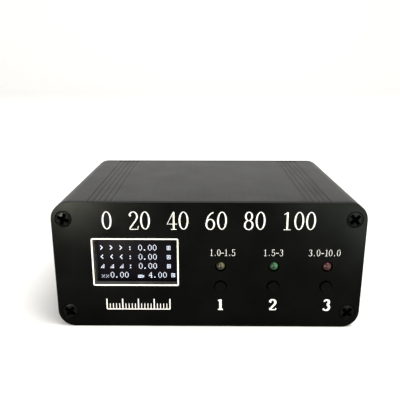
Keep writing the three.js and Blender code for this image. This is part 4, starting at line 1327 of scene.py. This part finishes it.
def placed(strokes, x, z, height, squeeze=1):
    """Strokes moved to a place and brought to a height"""
    wide = height * squeeze
    return [
        ([(x + a * wide, z + b * height, half * height) for a, b, half in points], closed)
        for points, closed in strokes
    ]


def ink(name, strokes, thickness, face_y):
    """Printed strokes: drawn with a round pen as a curve, made a mesh and pressed flat"""
    clear_selection()
    bpy.ops.curve.primitive_nurbs_path_add(enter_editmode=True)
    bpy.ops.curve.select_all(action="SELECT")
    bpy.ops.curve.delete(type="VERT")
    for points, closed in strokes:
        bpy.ops.curve.select_all(action="DESELECT")
        for x, z, half in points:
            bpy.ops.curve.vertex_add(location=(x, 0, z))
    bpy.ops.curve.select_all(action="SELECT")
    bpy.ops.curve.spline_type_set(type="POLY")
    bpy.ops.object.mode_set(mode="OBJECT")
    drawing = bpy.context.object
    curve = drawing.data
    for spline, (points, closed) in zip(curve.splines, strokes):
        spline.use_cyclic_u = closed
        for point, (x, z, half) in zip(spline.points, points):
            point.radius = half / MM
    curve.bevel_depth = MM
    curve.bevel_resolution = 2
    curve.use_fill_caps = True
    bpy.ops.object.convert(target="MESH")
    drawing = bpy.context.object
    depth = max(abs(vertex.co.y) for vertex in drawing.data.vertices)
    drawing.scale = (1, thickness / depth, 1)
    drawing.location = (0, face_y, 0)
    print_ = settle(name)
    print_.data.materials.clear()
    return smooth(print_, 60)


class METER_OT_print(bpy.types.Operator):
    """Prints the line round the window, the scales' numbers and the ticks"""

    bl_idname = "meter.print"
    bl_label = "Printed marks"

    def execute(self, context):
        made = finishes(context)
        s = context.scene.meter_print
        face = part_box("front_panel")[0].y
        window = self.frame_line(s, face)
        numbers = ink("scale_numbers", self.large_scale(s), s.ink, face)
        ticks = ink("scale_ticks", self.tick_row(s), s.ink, face)
        ranges = ink("indicator_ranges", self.range_numbers(), s.ink, face)
        keys = ink("button_numbers", self.key_numbers(), s.ink, face)
        for piece in (window, numbers, ticks, ranges, keys):
            finish(piece, "", made["ink"])
        return {"FINISHED"}

    def frame_line(self, s, face):
        """The white line round the window, with round outer corners"""
        low = (s.frame_left, face - s.ink, s.frame_low)
        high = (s.frame_right, face + s.ink, s.frame_high)
        line = block(low, high, "window_line")
        inset = s.frame_line
        hole = block(
            (low[0] + inset, face - MM, low[2] + inset * 1.08),
            (high[0] - inset, face + MM, high[2] - inset * 0.95),
        )
        round_edges(line, 0.5 * MM, 5, runs_along_y)
        return carve(line, hole)

    def large_scale(self, s):
        """Thin upright figures from 0 to 100"""
        height = s.scale_height
        words = ("0", "20", "40", "60", "80", "100")
        digits = sum(len(word) for word in words)
        pitch = 0.61 * height
        gap = (s.scale_right - s.scale_left - digits * pitch) / (len(words) - 1)
        strokes = []
        x = s.scale_left
        for word in words:
            for digit in word:
                strokes += placed(figure(digit, *LIGHT_PEN), x, s.scale_low, height)
                x += pitch
            x += gap
        return strokes

    def tick_row(self, s):
        """A row of ticks with every fifth one long, on a base line"""
        count = 20
        base = s.tick_low
        strokes = []
        for index in range(count + 1):
            x = s.tick_left + (s.tick_right - s.tick_left) * index / count
            part, half = (1, 0.17 * MM) if index % 5 == 0 else (0.55, 0.11 * MM)
            strokes.append(([(x, base, half), (x, base + s.tick_height * part, half)], False))
        half = 0.15 * MM
        strokes.append(([(s.tick_left, base, half), (s.tick_right, base, half)], False))
        return strokes

    def range_numbers(self):
        """Small figures over each indicator"""
        height = 2.0 * MM
        foot = 22.35 * MM
        signs = {
            ".": [([(0.24, 0.09, 0.085), (0.3, 0.09, 0.085)], False)],
            "-": [([(0.08, 0.42, 0.04), (0.48, 0.42, 0.04)], False)],
        }
        strokes = []
        for left, right, word in RANGES:
            pitch = (right - left) * MM / len(word)
            for index, mark in enumerate(word):
                drawn = signs[mark] if mark in signs else figure(mark, *SMALL_PEN)
                strokes += placed(drawn, left * MM + index * pitch, foot, height)
        return strokes

    def key_numbers(self):
        """A bold figure under each button"""
        height = 3.5 * MM
        foot = 5.35 * MM
        wider = 1.15
        strokes = []
        for middle, digit in KEYS:
            start = middle * MM - 0.28 * height * wider
            strokes += placed(figure(digit, *BOLD_PEN), start, foot, height, wider)
        return strokes


# Indicators and buttons


class METER_OT_controls(bpy.types.Operator):
    """Builds the indicators with their leads and the buttons"""

    bl_idname = "meter.controls"
    bl_label = "Indicators and buttons"

    def execute(self, context):
        made = finishes(context)
        s = context.scene.meter_controls
        lens, lead, button = self.lens(s), self.leads(s), self.button(s)
        for tint in ("yellow", "green", "red"):
            x, z = middle_of(f"indicator_{tint}")
            body = copied(lens, f"{tint}_lens", (x, 0, z))
            finish(body, f"indicator_{tint}", made[tint])
            legs = copied(lead, f"{tint}_leads", (x, 0, z))
            finish(legs, "", made["tin"])
        for index in (1, 2, 3):
            x, z = middle_of(f"button_{index}")
            key = copied(button, f"key_{index}", (x, 0, z))
            finish(key, f"button_{index}", made["plastic"], f"button_{index}")
        discard(lens, lead, button)
        dress(made["plastic"], "switch_body_1", "switch_body_2", "switch_body_3")
        return {"FINISHED"}

    def lens(self, s):
        """An indicator's epoxy body: a domed cylinder on a rim"""
        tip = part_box("indicator_yellow")[0].y
        base = tip + s.lens_length
        dome = [(radius, y) for radius, y in arc(0, tip + s.lens, s.lens, s.lens, -90, 0, 12)]
        dome[0] = (0, tip)
        profile = dome + [
            (s.lens, base - s.rim_height),
            (s.rim, base - s.rim_height),
            (s.rim, base - 0.1 * MM),
            (s.rim - 0.1 * MM, base),
            (0, base),
        ]
        return smooth(lathe(profile, 40, "lens"), 35)

    def leads(self, s):
        """An indicator's two square leads, 2.54 mm apart"""
        low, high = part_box("indicator_yellow")
        base = low.y + s.lens_length
        half = 0.25 * MM
        leads = []
        for x in (-1.27 * MM, 1.27 * MM):
            leads.append(block((x - half, base, -half), (x + half, high.y, half)))
        return ease(gather(leads, "leads"), 0.05 * MM, 1)

    def button(self, s):
        """A button: a rod with a rounded edge and a slightly hollow face"""
        low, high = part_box("button_1")
        r, e = s.button, s.button_edge
        edge = arc(r - e, low.y + e, e, e, -90, 0, 5)
        hollow = [(0, low.y + 0.08 * MM), (r * 0.5, low.y + 0.05 * MM)]
        return smooth(lathe([*hollow, *edge, (r, high.y), (0, high.y)], 48, "key"), 35)


# Sockets


def thread_coil(s, y0, y1):
    """One unbroken ridge of thread about the Y axis, wound by a screw modifier"""
    pitch, root = s.thread_pitch, s.barrel - s.thread_depth
    turns = int((y1 - y0) / pitch) - 1
    crest = s.barrel
    sunk = root - 0.12 * MM
    loop = [
        (sunk, y0, 0),
        (crest, y0 + 0.42 * pitch, 0),
        (crest, y0 + 0.54 * pitch, 0),
        (sunk, y0 + 0.96 * pitch, 0),
    ]
    coil = draw_line(loop, "thread")
    pick(coil, "VERT", lambda co: co.x < sunk + NEAR)
    bpy.ops.mesh.edge_face_add()
    bpy.ops.object.mode_set(mode="OBJECT")
    modify(
        coil,
        "SCREW",
        axis="Y",
        angle=2 * math.pi,
        screw_offset=pitch,
        iterations=turns,
        steps=56,
        render_steps=56,
        use_merge_vertices=True,
        merge_threshold=1e-7,
    )
    enter_edit(coil)
    bpy.ops.mesh.fill_holes(sides=4)
    leave_edit()
    return coil


def crossed_bars(radius, width, mouth, depth):
    """Two bars that cut a round mouth in four places"""
    past, half = radius + MM, width / 2
    return [
        block((-past, mouth - depth, -half), (past, mouth + MM, half)),
        block((-half, mouth - depth, -past), (half, mouth + MM, past)),
    ]


class METER_OT_sockets(bpy.types.Operator):
    """Builds the two coaxial sockets: shell, thread, insulator and contact"""

    bl_idname = "meter.sockets"
    bl_label = "Coaxial sockets"

    def execute(self, context):
        made = finishes(context)
        s = context.scene.meter_sockets
        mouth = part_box("input_socket_shell")[1].y
        flange_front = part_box("rear_panel")[1].y + s.flange_thick
        barrel = self.barrel(s, flange_front, mouth)
        coil = thread_coil(s, flange_front + 0.7 * MM, mouth - 0.1 * MM)
        carve(coil, *crossed_bars(s.barrel, s.notch, mouth, s.notch_depth + 0.03 * MM))
        smooth(coil, 35)
        insulator = self.insulator(s, mouth)
        contact = self.contact(s)
        for name in ("input", "antenna"):
            x, z = middle_of(f"{name}_socket_shell")
            place = (x, 0, z)
            piece = copied(barrel, f"{name}_barrel", place)
            finish(piece, f"{name}_socket_shell", made["nickel"])
            piece = copied(coil, f"{name}_thread", place)
            finish(piece, "", made["nickel"])
            piece = copied(insulator, f"{name}_insulator", place)
            finish(piece, f"{name}_socket_insulator", made["insulator"])
            piece = copied(contact, f"{name}_contact", place)
            finish(piece, f"{name}_socket_contact", made["gold"])
        discard(barrel, coil, insulator, contact)
        return {"FINISHED"}

    def barrel(self, s, flange_front, mouth):
        """The shell: a boss, a square flange with its four holes and a notched barrel"""
        face = flange_front - s.flange_thick
        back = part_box("input_socket_shell")[0].y
        root = s.barrel - s.thread_depth
        step = mouth - s.bore_depth - 1.4 * MM
        tail = s.tail + 0.1 * MM
        barrel = lathe(
            [
                (tail, back),
                (s.boss, back),
                (s.boss, flange_front - 0.3 * MM),
                (root, flange_front - 0.3 * MM),
                (root, mouth - 0.35 * MM),
                (root - 0.35 * MM, mouth),
                (s.bore + 0.2 * MM, mouth),
                (s.bore, mouth - 0.2 * MM),
                (s.bore, step),
                (tail, step),
                (tail, back),
            ],
            72,
            "barrel",
        )
        half = s.flange / 2
        flange = block((-half, face, -half), (half, flange_front, half), "flange")
        round_edges(flange, s.flange_corner, 8, runs_along_y)
        middle = (s.boss + tail) / 2
        hole = s.screw_hole
        holes = [rod(middle, middle, face - MM, flange_front + MM, sides=64)]
        for dx, dz in flange_corners(s):
            holes.append(rod(hole, hole, face - MM, flange_front + MM, dx, dz, 32))
        carve(flange, gather(holes))
        weld(barrel, ease(flange, 0.18 * MM))
        carve(barrel, *crossed_bars(s.barrel, s.notch, mouth, s.notch_depth))
        return smooth(barrel)

    def insulator(self, s, mouth):
        """The turned insulator, with eased edges at its mouth"""
        low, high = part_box("input_socket_insulator")
        bore = s.contact + 0.1 * MM
        shoulder = mouth - s.bore_depth
        back = shoulder - 1.3 * MM
        wide = s.bore - 0.1 * MM
        edge = 0.25 * MM
        profile = [
            (bore, low.y),
            (s.tail, low.y),
            (s.tail, back),
            (wide, back),
            (wide, shoulder),
            (s.column, shoulder),
            (s.column, high.y - edge),
            (s.column - edge, high.y),
            (bore + edge, high.y),
            (bore, high.y - edge),
            (bore, low.y),
        ]
        return smooth(lathe(profile, 56, "insulator"), 30)

    def contact(self, s):
        """The centre contact: a slit tube in front and a solder cup behind"""
        low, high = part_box("input_socket_contact")
        end = low.y + 6.2 * MM
        edge = 0.3 * MM
        profile = [
            (0, low.y + 4 * MM),
            (1.3 * MM, low.y + 4 * MM),
            (1.3 * MM, low.y),
            (s.cup, low.y),
            (s.cup, end),
            (s.contact, end),
            (s.contact, high.y - edge),
            (s.contact - edge, high.y),
            (s.contact_bore + edge / 2, high.y),
            (s.contact_bore, high.y - edge),
            (s.contact_bore, high.y - 10 * MM),
            (0, high.y - 10 * MM),
        ]
        contact = lathe(profile, 48, "contact")
        carve(contact, *crossed_bars(s.contact, s.slit, high.y, 7 * MM))
        return smooth(contact)


class METER_OT_rear_controls(bpy.types.Operator):
    """Builds the charging socket and the slide switch"""

    bl_idname = "meter.rear_controls"
    bl_label = "Charging socket and slide switch"

    def execute(self, context):
        made = finishes(context)
        s = context.scene.meter_sockets
        low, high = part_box("charging_socket_shell")
        shell = round_edges(block(low, high, "charging_shell"), s.usb_corner, 8, runs_along_y)
        wall = Vector((s.usb_wall, 0, s.usb_wall))
        hollow = block(low + wall + Vector((0, 0.8 * MM, 0)), high - wall + Vector((0, MM, 0)))
        round_edges(hollow, s.usb_corner - s.usb_wall, 8, runs_along_y)
        smooth(ease(carve(shell, hollow), 0.06 * MM))
        finish(shell, "charging_socket_shell", made["nickel"])
        tongue = eased_box("charging_socket_tongue", "charging_tongue", 0.12 * MM)
        finish(tongue, "charging_socket_tongue", made["plastic"])
        finish(self.strips(), "", made["gold"])
        lever = self.lever()
        finish(lever, "power_switch_lever", made["plastic"], "switch_lever")
        dress(made["nickel"], "power_switch_body")
        return {"FINISHED"}

    def strips(self):
        """The gilt strips on both sides of the tongue, twelve on each"""
        low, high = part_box("charging_socket_tongue")
        pitch = 0.5 * MM
        strips = []
        for z in (low.z, high.z):
            first = -5.5 * pitch - 0.125 * MM
            strip = block(
                (first, high.y - 4 * MM, z - 0.02 * MM),
                (first + 0.25 * MM, high.y - 0.25 * MM, z + 0.02 * MM),
            )
            ease(strip, 0.01 * MM, 1)
            modify(
                strip,
                "ARRAY",
                count=12,
                use_relative_offset=False,
                use_constant_offset=True,
                constant_offset_displace=(pitch, 0, 0),
            )
            strips.append(strip)
        return gather(strips, "charging_strips")

    def lever(self):
        """The switch's lever, with three grooves across its top for the finger"""
        low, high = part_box("power_switch_lever")
        lever = block(low, high, "slide_lever")
        half, floor = 0.1 * MM, high.z - 0.12 * MM
        grips = []
        for index in range(3):
            y = high.y - (0.45 + 0.5 * index) * MM
            ends = (low.x - MM, y - half, floor), (high.x + MM, y + half, high.z + MM)
            grips.append(block(*ends))
        carve(lever, gather(grips))
        return smooth(ease(lever, 0.1 * MM), 40)


class METER_OT_inside(bpy.types.Operator):
    """Gives the boards, the measuring line, the battery and the chips their finishes"""

    bl_idname = "meter.inside"
    bl_label = "Inside"

    def execute(self, context):
        made = finishes(context)
        dress(made["board"], "display_board", "front_board", "main_board")
        dress(made["plastic"], "display_header", "board_link", "controller_chip", "charger_chip")
        for name in ("input", "antenna"):
            dress(made["core"], f"{name}_core")
            dress(made["wire"], f"{name}_winding", f"{name}_line")
        dress(made["pouch"], "battery")
        dress(made["foam"], "battery_tape")
        dress(made["red_sleeve"], "battery_lead_red")
        dress(made["black_sleeve"], "battery_lead_black")
        return {"FINISHED"}


# The stage

# Each lamp: its place, the point that it faces, its size, its power in watts and its colour.
# The glows are what the front panel mirrors softly at its left, at its right and low down.
LAMPS = {
    "key": ((0.35, -0.15, 0.9), (-0.02, 0, 0.02), 0.7, 11, (1, 0.99, 0.975)),
    "left_glow": ((-0.09, -0.19, 0.014), (-0.038, -0.03, 0.033), 0.03, 0.36, (1, 0.92, 0.82)),
    "right_glow": ((0.085, -0.15, 0.012), (0.038, -0.03, 0.03), 0.085, 0.14, (1, 1, 0.9)),
    "low_glow": ((0.07, -0.095, 0.007), (0.043, -0.03, 0.01), 0.02, 0.011, (1, 1, 0.93)),
}
# The camera that the photograph's perspective gives
CAMERA_PLACE = (-1.253 * MM, -157.273 * MM, 74.702 * MM)
CAMERA_DOWN, CAMERA_TURN = math.radians(15.769), math.radians(0.53)
SENSOR_WIDTH, FOCAL_LENGTH = 36, 43.399


class METER_OT_stage(bpy.types.Operator):
    """Sets the paper sweep, the soft lights and the camera"""

    bl_idname = "meter.stage"
    bl_label = "Stage"

    def execute(self, context):
        made = finishes(context)
        scene = context.scene
        scene.view_settings.view_transform = "Standard"
        self.sweep(made["floor"])
        for name, lamp in LAMPS.items():
            self.light(name, *lamp)
        self.surroundings(scene)
        clear_selection()
        bpy.ops.object.camera_add(
            location=CAMERA_PLACE, rotation=(math.pi / 2 - CAMERA_DOWN, 0, CAMERA_TURN)
        )
        camera = context.object
        camera.name = "camera"
        camera.data.sensor_width = SENSOR_WIDTH
        camera.data.lens = FOCAL_LENGTH
        camera.data.clip_start = 0.01
        camera.data.clip_end = 20
        scene.camera = camera
        return {"FINISHED"}

    def surroundings(self, scene):
        """A white room: bright near the horizon, dimmer overhead"""
        world = bpy.data.worlds.new("studio")
        scene.world = world
        world.use_nodes = True
        tree = world.node_tree
        tree.nodes.clear()
        direction = add_node(tree, "ShaderNodeTexCoord", output="Generated")
        height = add_node(tree, "ShaderNodeSeparateXYZ", None, {0: direction}, output="Z")
        settings = {"From Min": 0.25, "From Max": 0.8, "To Min": 1.15, "To Max": 0.7}
        level = add_node(tree, "ShaderNodeMapRange", settings, {"Value": height})
        white = {"Color": (1, 1, 0.995, 1)}
        sky = add_node(tree, "ShaderNodeBackground", white, {"Strength": level})
        add_node(tree, "ShaderNodeOutputWorld", links={"Surface": sky})

    def sweep(self, material):
        """A floor that curves up into a backdrop, 5 m wide, just under the case"""
        floor = -0.02 * MM
        curve = arc(1.1, floor + 0.5, 0.5, 0.5, -90, 0, 12)
        line = [(-2.2, floor), (-0.4, floor), *curve, (1.6, 1.4)]
        backdrop = draw_line([(-2.5, y, z) for y, z in line], "paper_sweep")
        enter_edit(backdrop)
        bpy.ops.mesh.extrude_region_move(TRANSFORM_OT_translate={"value": (5, 0, 0)})
        leave_edit()
        smooth(backdrop, 40)
        backdrop.data.materials.append(material)

    def light(self, name, place, target, size, power, tint):
        """A soft square light"""
        clear_selection()
        aim = Vector(target) - Vector(place)
        bpy.ops.object.light_add(
            type="AREA", location=place, rotation=aim.to_track_quat("-Z", "Y").to_euler()
        )
        lamp = bpy.context.object
        lamp.name = name
        lamp.data.size = size
        lamp.data.energy = power
        lamp.data.color = tint
        lamp.visible_camera = False


OPERATORS = (
    METER_OT_stage,
    METER_OT_shells,
    METER_OT_panels,
    METER_OT_screws,
    METER_OT_display,
    METER_OT_print,
    METER_OT_controls,
    METER_OT_sockets,
    METER_OT_rear_controls,
    METER_OT_inside,
)


class METER_PT_builder(bpy.types.Panel):
    """Lists the steps and the sizes"""

    bl_idname = "METER_PT_builder"
    bl_label = "Power meter"
    bl_space_type = "VIEW_3D"
    bl_region_type = "UI"
    bl_category = "Meter"

    def draw(self, context):
        for operator in OPERATORS:
            self.layout.operator(operator.bl_idname)
        for name, group in GROUPS.items():
            box = self.layout.box()
            box.label(text=group.__doc__)
            for key in group.__annotations__:
                box.prop(getattr(context.scene, name), key)


def register():
    for group in GROUPS.values():
        bpy.utils.register_class(group)
    for operator in OPERATORS:
        bpy.utils.register_class(operator)
    bpy.utils.register_class(METER_PT_builder)
    for name, group in GROUPS.items():
        setattr(bpy.types.Scene, name, bpy.props.PointerProperty(type=group))


def unregister():
    for name in GROUPS:
        delattr(bpy.types.Scene, name)
    bpy.utils.unregister_class(METER_PT_builder)
    for operator in reversed(OPERATORS):
        bpy.utils.unregister_class(operator)
    for group in reversed(GROUPS.values()):
        bpy.utils.unregister_class(group)


def main():
    """Builds the whole part"""
    register()
    bpy.ops.meter.stage()
    bpy.ops.meter.shells()
    bpy.ops.meter.panels()
    bpy.ops.meter.screws()
    bpy.ops.meter.display()
    bpy.ops.meter.print()
    bpy.ops.meter.controls()
    bpy.ops.meter.sockets()
    bpy.ops.meter.rear_controls()
    bpy.ops.meter.inside()


if __name__ == "__main__":
    main()
